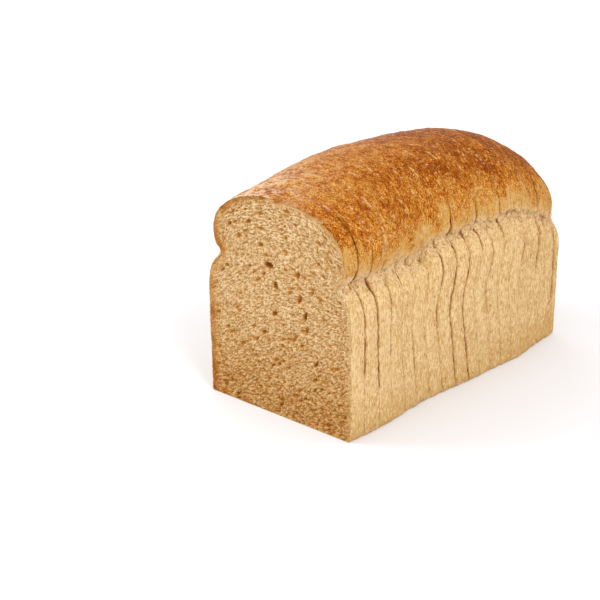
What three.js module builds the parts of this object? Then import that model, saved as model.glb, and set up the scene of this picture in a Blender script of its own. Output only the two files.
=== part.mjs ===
// A sliced wholemeal tin loaf that stands on its base: eighteen slices and the closed heel.
// Millimetres, +Z up. +Y runs along the loaf from its open cut face to the heel, +X across it,
// and the origin is at the middle of the base.

import * as THREE from "three";

// The whole loaf
const LOAF_LENGTH = 208.5;
const SLICE_COUNT = 18;
const SLICE_THICKNESS = 10.95;
const SAW_GAP = 0.4;
const RANDOM_SEED = 41;

// The part that rose inside the tin
const BASE_HALF_WIDTH = 54.6;
const SIDE_BULGE = 0.5;
const BASE_EDGE_RADIUS = 2.5;
const CORNER_RADIUS = 9;
const SHOULDER_HEIGHT = 21;
const SHOULDER_POWER = 2.5;

// The torn line where the crown rose over the tin's rim
const TEAR_HEIGHT_FRONT = 89.3;
const TEAR_HEIGHT_MIDDLE = 95.5;
const TEAR_HEIGHT_BACK = 77;
const TEAR_HALF_WIDTH_FRONT = 46.7;
const TEAR_HALF_WIDTH_BACK = 50.2;
const TEAR_DEPTH_AT_HEEL = 2.6;
const TEAR_REACH = 5;
const TEAR_WAVE = 0.8;
const TEAR_WAVE_LENGTH = 34;

// The crown
const CROWN_HALF_WIDTH_FRONT = 49.9;
const CROWN_HALF_WIDTH_BACK = 51.8;
const CROWN_WIDEST_FRONT = 102;
const CROWN_WIDEST_BACK = 85;
const CROWN_HEIGHT_FRONT = 130.6;
const CROWN_HEIGHT_PEAK = 143.6;
const CROWN_PEAK_AT = 95.5;
const CROWN_FALL_LENGTH = 207;
const CROWN_FALL_POWER = 3.2;
const CROWN_END_LENGTH = 21;
const CROWN_END_POWER = 2.4;
const CROWN_END_STEP = 2;
const CROWN_ROUNDNESS = 2.2;

// How the stack of soft slices has sagged
const WAIST_HEIGHT = 52;
const FOOT_SLIP = 10.5;
const SHOULDER_SLIP = 7.5;
const SLICE_SIDE_STEP = 0.3;
const SAW_WAVE = 0.35;
const CENTRE_STEP = -1.4;

// Where slices have slid sideways: place along the loaf, reach, sideways push
const SIDE_SWAYS = [
  { at: 28, reach: 14, push: 0.8 },
  { at: 60, reach: 16, push: -1.4 },
  { at: 104, reach: 18, push: 1.9 },
  { at: 148, reach: 28, push: 4.2 },
];

// Gaps that have opened between slices: cut number, height of the middle, reach, extra width
const OPEN_GAPS = [
  { cut: 1, height: 72, reach: 24, width: 0.9 },
  { cut: 2, height: 66, reach: 28, width: 1.1 },
  { cut: 3, height: 64, reach: 20, width: 0.5 },
  { cut: 5, height: 72, reach: 20, width: 0.4 },
  { cut: 7, height: 72, reach: 18, width: 0.8 },
  { cut: 8, height: 78, reach: 22, width: 1.5 },
  { cut: 9, height: 40, reach: 36, width: 1.0 },
  { cut: 11, height: 58, reach: 16, width: 0.5 },
  { cut: 14, height: 70, reach: 12, width: 0.5 },
  { cut: 16, height: 88, reach: 24, width: 0.8 },
  { cut: 18, height: 56, reach: 28, width: 1.2 },
];

// Facets
const CORNER_STEPS = 2;
const SIDE_STEPS = 5;
const SHOULDER_STEPS = 4;
const LIP_STEPS = 2;
const CROWN_STEPS = 9;
const FACE_COLUMNS = 5;
const SLICE_RINGS = 3;
const HEEL_RINGS = 7;

// Colours of the baked dough
const CRUST_COLOUR = 0xc08a4c;
const CRUST_ROUGHNESS = 0.6;

const clamp = THREE.MathUtils.clamp;
const lerp = THREE.MathUtils.lerp;
const smooth = THREE.MathUtils.smoothstep;

// A seeded random draw between -1 and 1.
function makeDraw(seed) {
  let state = seed;
  return () => {
    state = (state * 1664525 + 1013904223) % 4294967296;
    return (state / 4294967296) * 2 - 1;
  };
}

// 1 up to `start`, then a superellipse's quarter down to 0 at `start + length`.
function roundOff(y, start, length, power) {
  const t = clamp((y - start) / length, 0, 1);
  return Math.pow(1 - Math.pow(t, power), 1 / power);
}

// How far a quarter circle has drawn in at y, when it ends at the heel's face.
function edgeInset(y, radius) {
  const t = clamp(y - (LOAF_LENGTH - radius), 0, radius);
  return radius - Math.sqrt(radius * radius - t * t);
}

// The named sizes of the loaf's cross-section at y, measured from the open cut face.
function sectionSizes(y) {
  const t = y / LOAF_LENGTH;
  const inset = edgeInset(y, CORNER_RADIUS);
  const risen = smooth(y, 0.25 * LOAF_LENGTH, 0.45 * LOAF_LENGTH);
  const fallen = smooth(y, 0.66 * LOAF_LENGTH, LOAF_LENGTH);
  const tearHeight =
    lerp(TEAR_HEIGHT_FRONT, TEAR_HEIGHT_MIDDLE, risen) -
    (TEAR_HEIGHT_MIDDLE - TEAR_HEIGHT_BACK) * fallen +
    TEAR_WAVE * Math.sin((2 * Math.PI * y) / TEAR_WAVE_LENGTH);
  const widest = lerp(CROWN_WIDEST_FRONT, CROWN_WIDEST_BACK, smooth(t, 0.45, 1));
  const frontDrop = Math.pow(clamp(1 - y / CROWN_PEAK_AT, 0, 1), 2);
  const ridge = CROWN_HEIGHT_PEAK - (CROWN_HEIGHT_PEAK - CROWN_HEIGHT_FRONT) * frontDrop;
  const fall = roundOff(y, LOAF_LENGTH - CROWN_FALL_LENGTH, CROWN_FALL_LENGTH, CROWN_FALL_POWER);
  const narrow = roundOff(y, LOAF_LENGTH - CROWN_END_LENGTH, CROWN_END_LENGTH, CROWN_END_POWER);
  const widestHeight = Math.max(widest, tearHeight + 4);
  const crownHalf = lerp(CROWN_HALF_WIDTH_FRONT, CROWN_HALF_WIDTH_BACK, t);
  const tearHalf = lerp(TEAR_HALF_WIDTH_FRONT, TEAR_HALF_WIDTH_BACK, t) - inset;
  const endStep = CROWN_END_STEP * smooth(y, LOAF_LENGTH - CROWN_END_LENGTH, LOAF_LENGTH);
  return {
    baseHalf: BASE_HALF_WIDTH - inset,
    sideHalf: BASE_HALF_WIDTH + SIDE_BULGE - inset,
    baseHeight: edgeInset(y, BASE_EDGE_RADIUS),
    tearHeight,
    tearHalf,
    widestHeight,
    crownHalf: Math.max(crownHalf * narrow, tearHalf - endStep),
    ridgeHeight: widestHeight + (ridge - widestHeight) * fall,
  };
}

// The right half of the section's outline from the edge of the base up to beside the ridge,
// as [x, z] pairs, and the ridge's height.
function halfOutline(y) {
  const s = sectionSizes(y);
  const shoulderStart = s.tearHeight - SHOULDER_HEIGHT;
  const sideStart = s.baseHeight + BASE_EDGE_RADIUS;
  const points = [[s.baseHalf - BASE_EDGE_RADIUS, s.baseHeight]];
  for (let i = 1; i <= CORNER_STEPS; i++) {
    const a = (Math.PI / 2) * (i / CORNER_STEPS);
    points.push([
      s.baseHalf - BASE_EDGE_RADIUS * (1 - Math.sin(a)),
      s.baseHeight + BASE_EDGE_RADIUS * (1 - Math.cos(a)),
    ]);
  }
  for (let i = 1; i <= SIDE_STEPS; i++) {
    const t = i / SIDE_STEPS;
    points.push([
      lerp(s.baseHalf, s.sideHalf, Math.sin((Math.PI / 2) * t)),
      lerp(sideStart, shoulderStart, t),
    ]);
  }
  for (let i = 1; i <= SHOULDER_STEPS; i++) {
    const t = i / SHOULDER_STEPS;
    points.push([
      lerp(s.sideHalf, s.tearHalf, Math.pow(t, SHOULDER_POWER)),
      lerp(shoulderStart, s.tearHeight, t),
    ]);
  }
  for (let i = 1; i <= LIP_STEPS; i++) {
    const t = i / LIP_STEPS;
    points.push([
      lerp(s.crownHalf, s.tearHalf, (1 - t) * (1 - t)),
      lerp(s.tearHeight, s.widestHeight, t),
    ]);
  }
  for (let i = 1; i < CROWN_STEPS; i++) {
    const a = (Math.PI / 2) * (i / CROWN_STEPS);
    points.push([
      s.crownHalf * Math.pow(Math.cos(a), 2 / CROWN_ROUNDNESS),
      s.widestHeight +
        (s.ridgeHeight - s.widestHeight) * Math.pow(Math.sin(a), 2 / CROWN_ROUNDNESS),
    ]);
  }
  return { points, ridgeHeight: s.ridgeHeight };
}

// How far the stack has slipped along the loaf at height z: the feet and the shoulders
// of the middle slices lean towards the heel, and their waists stay forward.
function slip(y, z) {
  const along = clamp(y / LOAF_LENGTH, 0, 1);
  const below = (WAIST_HEIGHT - z) / WAIST_HEIGHT;
  const foot = (Math.sqrt(below * below + 0.01) + below) / 2;
  const shoulder = smooth(z, WAIST_HEIGHT, 82) - 0.35 * smooth(z, 88, 112);
  const footSlip = FOOT_SLIP * Math.pow(Math.sin(Math.PI * along), 1.2);
  const shoulderSlip = SHOULDER_SLIP * Math.sin(Math.PI * clamp((y - 20) / 190, 0, 1));
  return footSlip * foot + shoulderSlip * shoulder;
}

// How far the slice at y has slid to one side of its neighbours.
function sideSway(y) {
  let push = CENTRE_STEP;
  for (const sway of SIDE_SWAYS) {
    push += sway.push * Math.exp(-Math.pow((y - sway.at) / sway.reach, 2));
  }
  return push;
}

// Half of the gap at a cut, wider where the slices have parted.
function halfGap(cut, z) {
  let width = SAW_GAP;
  for (const gap of OPEN_GAPS) {
    if (gap.cut === cut) {
      width += gap.width * Math.exp(-Math.pow((z - gap.height) / gap.reach, 2));
    }
  }
  return width / 2;
}

// The middle of a cut before the stack sagged: a plane with the saw's slight waves.
function cutPlace(cut, x, z) {
  if (cut === 0) {
    return 0;
  }
  const phase = cut * 1.7;
  const wave = Math.sin(z / 17 + phase) * Math.cos(x / 23 + phase * 0.6);
  return cut * SLICE_THICKNESS + SAW_WAVE * wave;
}

// One ring round the loaf, at the place along it that `placeAt` gives for each [x, z].
// It starts with the base, from left to right, and goes up the right side.
function ringPoints(y, placeAt, sideStep) {
  const { points, ridgeHeight } = halfOutline(y);
  const flat = [];
  const [footX, footZ] = points[0];
  for (let c = 1; c < FACE_COLUMNS; c++) {
    flat.push([lerp(-footX, footX, c / FACE_COLUMNS), footZ]);
  }
  const left = points.map(([x, z]) => [-x, z]).reverse();
  const ring = [...flat, ...points, [0, ridgeHeight], ...left];
  return ring.map(([x, z]) => settle(x, placeAt(x, z), z, sideStep));
}

// Puts a point of the straight loaf where the sagged stack has it, in the part's frame.
function settle(x, y, z, sideStep) {
  return new THREE.Vector3(x + sideStep, y + slip(y, z) - LOAF_LENGTH / 2, z);
}

// Collects vertices and triangles of one closed solid.
class SolidBuilder {
  constructor() {
    this.positions = [];
    this.triangles = [];
  }

  // Adds a point and returns its number.
  add(point) {
    this.positions.push(point.x, point.y, point.z);
    return this.positions.length / 3 - 1;
  }

  // Joins two rings of equally many vertices with a band that faces outwards.
  band(front, back) {
    const count = front.length;
    for (let i = 0; i < count; i++) {
      const j = (i + 1) % count;
      this.triangles.push(front[i], back[j], front[j]);
      this.triangles.push(front[i], back[i], back[j]);
    }
  }

  // Closes a ring with rows of facets that run straight across from side to side.
  face(ring, pointAt, facesBack) {
    const base = FACE_COLUMNS - 1;
    const rowCount = (ring.length - base - 1) / 2;
    const ridge = ring[base + rowCount];
    const rows = [];
    for (let r = 0; r < rowCount; r++) {
      const right = ring[base + r];
      const left = ring[ring.length - 1 - r];
      const row = [left];
      for (let c = 1; c < FACE_COLUMNS; c++) {
        if (r === 0) {
          row.push(ring[c - 1]);
        } else {
          row.push(this.add(pointAt(this.at(left), this.at(right), c / FACE_COLUMNS)));
        }
      }
      row.push(right);
      rows.push(row);
    }
    for (let r = 0; r + 1 < rowCount; r++) {
      for (let c = 0; c < FACE_COLUMNS; c++) {
        this.facet(rows[r][c], rows[r][c + 1], rows[r + 1][c + 1], facesBack);
        this.facet(rows[r][c], rows[r + 1][c + 1], rows[r + 1][c], facesBack);
      }
    }
    const top = rows[rowCount - 1];
    for (let c = 0; c < FACE_COLUMNS; c++) {
      this.facet(top[c], top[c + 1], ridge, facesBack);
    }
  }

  // One triangle, turned round when its face looks towards the heel.
  facet(a, b, c, facesBack) {
    this.triangles.push(a, facesBack ? c : b, facesBack ? b : c);
  }

  // The place of a vertex.
  at(index) {
    return new THREE.Vector3().fromArray(this.positions, index * 3);
  }

  // The finished geometry.
  geometry() {
    const geometry = new THREE.BufferGeometry();
    geometry.setAttribute("position", new THREE.Float32BufferAttribute(this.positions, 3));
    geometry.setIndex(this.triangles);
    geometry.computeVertexNormals();
    return geometry;
  }
}

// A solid between two cuts, or between the last cut and the heel's end.
// `stations` are its rings' places before the sag, and `placeAt` bends each of them.
function loafPiece(stations, placeAt, endFace, sideStep) {
  const solid = new SolidBuilder();
  const rings = stations.map((y, i) => {
    const points = ringPoints(y, (x, z) => placeAt(i, x, z), sideStep);
    return points.map((point) => solid.add(point));
  });
  for (let i = 0; i + 1 < rings.length; i++) {
    solid.band(rings[i], rings[i + 1]);
  }
  const last = rings.length - 1;
  const across = (end) => (left, right, t) => {
    const x = lerp(left.x, right.x, t) - sideStep;
    const z = lerp(left.z, right.z, t);
    return settle(x, end(x, z), z, sideStep);
  };
  solid.face(rings[0], across((x, z) => placeAt(0, x, z)), false);
  solid.face(rings[last], across(endFace ?? ((x, z) => placeAt(last, x, z))), true);
  return solid.geometry();
}

// A slice, numbered from the open end.
function sliceGeometry(number, sideStep) {
  const front = number - 1;
  const back = number;
  const placeAt = (ring, x, z) => {
    const start = cutPlace(front, x, z) + (front === 0 ? 0 : halfGap(front, z));
    const end = cutPlace(back, x, z) - halfGap(back, z);
    return lerp(start, end, ring / (SLICE_RINGS - 1));
  };
  const stations = [];
  for (let i = 0; i < SLICE_RINGS; i++) {
    stations.push((front + i / (SLICE_RINGS - 1)) * SLICE_THICKNESS);
  }
  return loafPiece(stations, placeAt, null, sideStep);
}

// How far the torn line draws the heel's end in at height z.
function heelTear(y, z) {
  const reach = (z - TEAR_HEIGHT_BACK) / TEAR_REACH;
  const along = smooth(y, LOAF_LENGTH - CORNER_RADIUS, LOAF_LENGTH);
  return TEAR_DEPTH_AT_HEEL * along * Math.exp(-reach * reach);
}

// The heel: the loaf's closed end, with the tin's rounded corners and the end of the crown.
function heelGeometry(sideStep) {
  const start = SLICE_COUNT * SLICE_THICKNESS;
  const depth = LOAF_LENGTH - start;
  const stations = [];
  for (let i = 0; i < HEEL_RINGS; i++) {
    stations.push(start + depth * Math.sin((Math.PI / 2) * (i / (HEEL_RINGS - 1))));
  }
  const placeAt = (ring, x, z) => {
    if (ring === 0) {
      return cutPlace(SLICE_COUNT, x, z) + halfGap(SLICE_COUNT, z);
    }
    return stations[ring] - heelTear(stations[ring], z);
  };
  return loafPiece(stations, placeAt, (x, z) => LOAF_LENGTH - heelTear(LOAF_LENGTH, z), sideStep);
}

// A named piece of the loaf in its own crust-coloured material.
function namedMesh(name, geometry) {
  const material = new THREE.MeshStandardMaterial({
    color: CRUST_COLOUR,
    roughness: CRUST_ROUGHNESS,
    metalness: 0,
  });
  const mesh = new THREE.Mesh(geometry, material);
  mesh.name = name;
  return mesh;
}

const draw = makeDraw(RANDOM_SEED);
const loaf = new THREE.Group();
for (let number = 1; number <= SLICE_COUNT; number++) {
  const name = `slice_${String(number).padStart(2, "0")}`;
  const middle = (number - 0.5) * SLICE_THICKNESS;
  const sideStep = sideSway(middle) + SLICE_SIDE_STEP * draw();
  loaf.add(namedMesh(name, sliceGeometry(number, sideStep)));
}
loaf.add(namedMesh("heel", heelGeometry(sideSway(LOAF_LENGTH) + SLICE_SIDE_STEP * draw())));

export default loaf;
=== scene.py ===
"""A sliced wholemeal tin loaf, dressed for the photograph's view.

Eighteen soft slices and the closed heel stand as one block. Every piece replaces the plain
solid of the same name: the same outline and the same sag along the loaf, with the crust's
relief, the ragged tear under the crown, the pores of the open cut face and loose bran on top.
x runs across the loaf, y along it from the open cut face and z upwards. Sizes are in
millimetres until a mesh is made, which is in metres.
"""

import logging
from collections.abc import Callable
from dataclasses import dataclass, field
from enum import Enum
from math import cos, pi, radians, sin

import bpy
import numpy as np
from mathutils import Matrix, Vector


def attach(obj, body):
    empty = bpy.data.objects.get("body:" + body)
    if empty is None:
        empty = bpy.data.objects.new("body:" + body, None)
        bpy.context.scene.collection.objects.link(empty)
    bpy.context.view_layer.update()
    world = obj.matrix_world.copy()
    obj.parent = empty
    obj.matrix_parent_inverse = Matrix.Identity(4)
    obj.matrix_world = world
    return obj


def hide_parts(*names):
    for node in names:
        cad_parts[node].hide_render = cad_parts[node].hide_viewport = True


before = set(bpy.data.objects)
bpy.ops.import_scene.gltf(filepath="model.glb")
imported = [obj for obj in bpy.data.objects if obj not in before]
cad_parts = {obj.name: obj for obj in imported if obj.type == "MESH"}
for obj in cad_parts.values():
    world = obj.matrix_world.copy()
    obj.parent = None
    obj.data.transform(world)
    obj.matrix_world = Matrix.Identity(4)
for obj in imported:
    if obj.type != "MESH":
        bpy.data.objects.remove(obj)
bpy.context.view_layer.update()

log = logging.getLogger("loaf")

Array = np.ndarray
Number = float | Array
Face = Callable[[Array, Array, Array], tuple[Array, Array]]
Source = bpy.types.NodeSocket | float | tuple[float, ...]

MM = 0.001
WORD = np.uint64(0xFFFFFFFF)
CELL_PRIMES = (73856093, 19349663, 83492791)
SEED_PRIME = 2654435761
MIX_PRIMES = ((15, 0x2C1B3C6D), (12, 0x297A2D39))
LAST_SHIFT = 15
LINE_LAYER = 0.5


def smooth_step(value: Array, low: Number, high: Number) -> Array:
    """Rise smoothly from 0 at `low` to 1 at `high`.

    Args:
        value: Where to evaluate.
        low: Where the rise starts.
        high: Where the rise ends.

    Returns:
        3t² - 2t³ of the clamped fraction t.
    """
    t = np.clip((value - low) / (high - low), 0.0, 1.0)
    return t * t * (3.0 - 2.0 * t)


def blend(start: Number, end: Number, t: Number) -> Array:
    """Mix two values, `start` at t = 0 and `end` at t = 1."""
    return start + (end - start) * t


def bell(value: Number, middle: Number, reach: float) -> Array:
    """A bell curve: 1 at `middle` and 1/e at `reach` from it."""
    return np.exp(-(((value - middle) / reach) ** 2))


def lattice_hash(cells: tuple[Array, ...], seed: int) -> Array:
    """Give every whole-numbered cell its own random 32 bits.

    Args:
        cells: The cell's whole numbers, one array for each axis.
        seed: Which of many independent patterns to give.

    Returns:
        One 32 bit number for each cell.
    """
    mixed = np.full(cells[0].shape, (seed * SEED_PRIME) % 2**32, dtype=np.uint64)
    for cell, prime in zip(cells, CELL_PRIMES):
        mixed ^= (cell.astype(np.int64) * prime).astype(np.uint64) & WORD
    for shift, prime in MIX_PRIMES:
        mixed = (mixed ^ (mixed >> np.uint64(shift))) * np.uint64(prime) & WORD
    return mixed ^ (mixed >> np.uint64(LAST_SHIFT))


def fields_of(bits: Array, size: int, count: int) -> list[Array]:
    """Cut random bits into `count` numbers from 0 to 1, each `size` bits wide."""
    top = 2**size - 1
    return [((bits >> np.uint64(size * k)) & np.uint64(top)) / top for k in range(count)]


def noise(x: Number, y: Number, z: Number, seed: int) -> Array:
    """Smooth gradient noise, about -1 to 1, with one bump or hollow for each unit cell.

    Each corner of a cell holds a random gradient; the eight gradients' products with the
    distance to their corners are blended with the quintic 6t⁵ - 15t⁴ + 10t³.

    Args:
        x: First coordinate, in cells.
        y: Second coordinate, in cells.
        z: Third coordinate, in cells.
        seed: Which pattern to give.

    Returns:
        The noise, in the broadcast shape of the coordinates.
    """
    x, y, z = np.broadcast_arrays(x, y, z)
    corner = [np.floor(v).astype(np.int64) for v in (x, y, z)]
    part = [v - c for v, c in zip((x, y, z), corner)]
    fade = [t * t * t * (t * (t * 6.0 - 15.0) + 10.0) for t in part]
    total = np.zeros(x.shape)
    for i in (0, 1):
        for j in (0, 1):
            for k in (0, 1):
                bits = lattice_hash((corner[0] + i, corner[1] + j, corner[2] + k), seed)
                slopes = [2.0 * value - 1.0 for value in fields_of(bits, 10, 3)]
                dot = slopes[0] * (part[0] - i) + slopes[1] * (part[1] - j)
                dot += slopes[2] * (part[2] - k)
                weight = np.abs(1 - i - fade[0]) * np.abs(1 - j - fade[1])
                total += dot * weight * np.abs(1 - k - fade[2])
    return np.clip(total * 1.5, -1.0, 1.0)


@dataclass(frozen=True)
class Ripple:
    """A pattern of noise with its own cell size along each axis."""

    across: float
    along: float
    up: float
    seed: int

    def at(self, x: Number, y: Number, z: Number) -> Array:
        """The pattern at each place, about -1 to 1."""
        return noise(x / self.across, y / self.along, z / self.up, self.seed)

    def dip(self, x: Number, y: Number, z: Number) -> Array:
        """The pattern at each place, about 0 to 1."""
        return 0.5 + 0.5 * self.at(x, y, z)

    def on_face(self, x: Array, z: Array, layer: float) -> Array:
        """One layer of the pattern, on a face that lies across the loaf."""
        return noise(x / self.across, z / self.up, layer, self.seed)

    def line(self, y: Array, side: Number) -> Array:
        """The pattern along the loaf alone, with its own course on each side."""
        return noise(side, y / self.along, LINE_LAYER, self.seed)


@dataclass(frozen=True)
class Seam:
    """A stretch of a cut that has opened: a wider gap, and painted shade that makes it a dark line."""

    cut: int
    low: float
    high: float
    dark: float


@dataclass(frozen=True)
class Sway:
    """A place where slices have slid sideways."""

    at: float
    reach: float
    push: float


@dataclass(frozen=True)
class Section:
    """The named sizes of the loaf's cross-section, one value for each place along it."""

    base_half: Array
    side_half: Array
    base_height: Array
    tear_height: Array
    tear_half: Array
    widest_height: Array
    crown_half: Array
    ridge_height: Array


@dataclass(frozen=True)
class LoafForm:
    """The loaf's shape: its cross-section along the length, its cuts and how it has sagged."""

    length: float = 208.5
    slice_count: int = 18
    slice_thickness: float = 10.95
    base_half_width: float = 54.6
    side_bulge: float = 0.5
    base_edge_radius: float = 2.5
    corner_radius: float = 9.0
    shoulder_height: float = 21.0
    shoulder_power: float = 2.5
    tear_height_front: float = 89.3
    tear_height_middle: float = 95.5
    tear_height_back: float = 77.0
    tear_rise: tuple[float, float] = (0.25, 0.45)
    tear_fall_from: float = 0.66
    tear_half_width_front: float = 46.7
    tear_half_width_back: float = 50.2
    tear_depth_at_heel: float = 2.6
    tear_reach: float = 5.0
    tear_wave: float = 0.8
    tear_wave_length: float = 34.0
    lip_height: float = 4.0
    crown_half_width_front: float = 49.9
    crown_half_width_back: float = 51.8
    crown_widest_front: float = 102.0
    crown_widest_back: float = 85.0
    crown_widest_from: float = 0.45
    crown_height_front: float = 130.6
    crown_height_peak: float = 143.6
    crown_peak_at: float = 95.5
    crown_fall_length: float = 207.0
    crown_fall_power: float = 3.2
    crown_end_length: float = 21.0
    crown_end_power: float = 2.4
    crown_end_step: float = 2.0
    crown_roundness: float = 2.2
    waist_height: float = 52.0
    waist_bend: float = 0.01
    foot_slip: float = 10.5
    foot_slip_power: float = 1.2
    shoulder_slip: float = 7.5
    shoulder_slip_top: float = 82.0
    shoulder_slip_start: float = 20.0
    shoulder_slip_length: float = 190.0
    crown_return: float = 0.35
    crown_return_heights: tuple[float, float] = (88.0, 112.0)
    saw_wave: float = 0.35
    saw_wave_height: float = 17.0
    saw_wave_width: float = 23.0
    centre_step: float = -1.4
    sways: tuple[Sway, ...] = (
        Sway(28.0, 14.0, 0.8),
        Sway(60.0, 16.0, -1.4),
        Sway(104.0, 18.0, 1.9),
        Sway(148.0, 28.0, 4.2),
    )
    closed_gap: float = 0.03
    open_gap: float = 0.54
    jag: float = 0.5
    jag_cells: tuple[tuple[float, float, int], ...] = ((3.4, 1.0, 62), (1.5, 0.5, 63))
    ease_reach: float = 2.2
    first_hidden_seam: int = 14
    seam_fade: float = 5.0
    seam_ground: float = 0.1
    seam_top: tuple[float, float] = (136.0, 122.0)
    seam_break_height: float = 7.0
    seams: tuple[Seam, ...] = (
        Seam(1, 38.0, 128.0, 1.0),
        Seam(1, 94.0, 125.0, 0.7),
        Seam(2, 26.0, 110.0, 1.0),
        Seam(3, 42.0, 88.0, 0.5),
        Seam(5, 20.0, 56.0, 0.5),
        Seam(7, 48.0, 88.0, 0.8),
        Seam(8, -9.0, 50.0, 0.7),
        Seam(8, 50.0, 116.0, 1.2),
        Seam(8, 94.0, 114.0, 0.6),
        Seam(9, -9.0, 86.0, 0.85),
        Seam(10, 86.0, 112.0, 0.9),
        Seam(11, 40.0, 84.0, 0.5),
        Seam(12, 88.0, 110.0, 0.8),
        Seam(14, 60.0, 82.0, 0.7),
        Seam(16, 55.0, 110.0, 1.1),
        Seam(16, 82.0, 106.0, 0.6),
        Seam(18, 28.0, 84.0, 1.0),
    )
    corner_steps: int = 5
    side_steps: int = 118
    shoulder_steps: int = 42
    lip_steps: int = 16
    crown_steps: int = 128
    base_columns: int = 12

    def round_off(self, y: Array, start: float, length: float, power: float) -> Array:
        """Fall from 1 at `start` to 0 at `start + length` along a superellipse's quarter."""
        t = np.clip((y - start) / length, 0.0, 1.0)
        return (1.0 - t**power) ** (1.0 / power)

    def edge_inset(self, y: Array, radius: float) -> Array:
        """How far a quarter circle that ends at the heel's face has drawn in at y."""
        t = np.clip(y - (self.length - radius), 0.0, radius)
        return radius - np.sqrt(radius * radius - t * t)

    def tear_line(self, y: Array) -> Array:
        """Work out the torn line's height: a rise, a fall to the heel and a slow wave.

        Args:
            y: Places along the loaf from its open cut face.

        Returns:
            The height at each place.
        """
        rise_start, rise_end = (share * self.length for share in self.tear_rise)
        risen = smooth_step(y, rise_start, rise_end)
        fallen = smooth_step(y, self.tear_fall_from * self.length, self.length)
        tear = blend(self.tear_height_front, self.tear_height_middle, risen)
        tear = tear - (self.tear_height_middle - self.tear_height_back) * fallen
        return tear + self.tear_wave * np.sin(2.0 * pi * y / self.tear_wave_length)

    def section(self, y: Array) -> Section:
        """Work out the cross-section's sizes.

        Args:
            y: Places along the loaf from its open cut face.

        Returns:
            The section at each place.
        """
        t = y / self.length
        inset = self.edge_inset(y, self.corner_radius)
        tear = self.tear_line(y)
        along = smooth_step(t, self.crown_widest_from, 1.0)
        widest = blend(self.crown_widest_front, self.crown_widest_back, along)
        widest = np.maximum(widest, tear + self.lip_height)
        front_drop = np.clip(1.0 - y / self.crown_peak_at, 0.0, 1.0) ** 2
        climb = self.crown_height_peak - self.crown_height_front
        ridge = self.crown_height_peak - climb * front_drop
        fall_start = self.length - self.crown_fall_length
        fall = self.round_off(y, fall_start, self.crown_fall_length, self.crown_fall_power)
        end_start = self.length - self.crown_end_length
        narrow = self.round_off(y, end_start, self.crown_end_length, self.crown_end_power)
        tear_half = blend(self.tear_half_width_front, self.tear_half_width_back, t) - inset
        crown_half = blend(self.crown_half_width_front, self.crown_half_width_back, t) * narrow
        end_step = self.crown_end_step * smooth_step(y, end_start, self.length)
        return Section(
            base_half=self.base_half_width - inset,
            side_half=self.base_half_width + self.side_bulge - inset,
            base_height=self.edge_inset(y, self.base_edge_radius),
            tear_height=tear,
            tear_half=tear_half,
            widest_height=widest,
            crown_half=np.maximum(crown_half, tear_half - end_step),
            ridge_height=widest + (ridge - widest) * fall,
        )

    def half_outline(self, y: Array) -> tuple[Array, Array]:
        """Trace the right half of the outline from the base's edge up to beside the ridge.

        A quarter circle rounds the base's edge, a quarter sine bulges the side, a power
        curve draws the shoulder in to the tear, a parabola swings out under the crown's
        lip, and a superellipse makes the crown.

        Args:
            y: Places along the loaf, one for each ring.

        Returns:
            x and z, each with a row for each place and a column for each outline point.
        """
        up = {name: value[:, None] for name, value in vars(self.section(y)).items()}
        edge = self.base_edge_radius
        corner = np.linspace(0.0, pi / 2, self.corner_steps + 1)
        side = np.linspace(0.0, 1.0, self.side_steps + 1)[1:]
        shoulder = np.linspace(0.0, 1.0, self.shoulder_steps + 1)[1:]
        lip = np.linspace(0.0, 1.0, self.lip_steps + 1)[1:]
        arch = np.linspace(0.0, pi / 2, self.crown_steps + 1)[1:-1]
        side_start = up["base_height"] + edge
        shoulder_start = up["tear_height"] - self.shoulder_height
        rise = up["ridge_height"] - up["widest_height"]
        power = 2.0 / self.crown_roundness
        x = [
            up["base_half"] - edge * (1.0 - np.sin(corner)),
            blend(up["base_half"], up["side_half"], np.sin(pi / 2 * side)),
            blend(up["side_half"], up["tear_half"], shoulder**self.shoulder_power),
            blend(up["crown_half"], up["tear_half"], (1.0 - lip) ** 2),
            up["crown_half"] * np.cos(arch) ** power,
        ]
        z = [
            up["base_height"] + edge * (1.0 - np.cos(corner)),
            blend(side_start, shoulder_start, side),
            blend(shoulder_start, up["tear_height"], shoulder),
            blend(up["tear_height"], up["widest_height"], lip),
            up["widest_height"] + rise * np.sin(arch) ** power,
        ]
        return np.concatenate(x, axis=1), np.concatenate(z, axis=1)

    def rings(self, y: Array) -> tuple[Array, Array]:
        """Close the outline into rings: the base from left to right, then round to the left.

        Args:
            y: Places along the loaf, one for each ring.

        Returns:
            x and z, each with a row for each ring.
        """
        x, z = self.half_outline(y)
        share = np.linspace(-1.0, 1.0, self.base_columns + 1)[1:-1]
        flat_x = x[:, :1] * share
        flat_z = np.repeat(z[:, :1], share.size, axis=1)
        ridge = self.section(y).ridge_height[:, None]
        ring_x = np.concatenate([flat_x, x, np.zeros_like(ridge), -x[:, ::-1]], axis=1)
        ring_z = np.concatenate([flat_z, z, ridge, z[:, ::-1]], axis=1)
        return ring_x, ring_z

    @property
    def half_count(self) -> int:
        """How many points a half outline has."""
        lower = self.corner_steps + self.side_steps + self.shoulder_steps
        return lower + self.lip_steps + self.crown_steps

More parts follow.
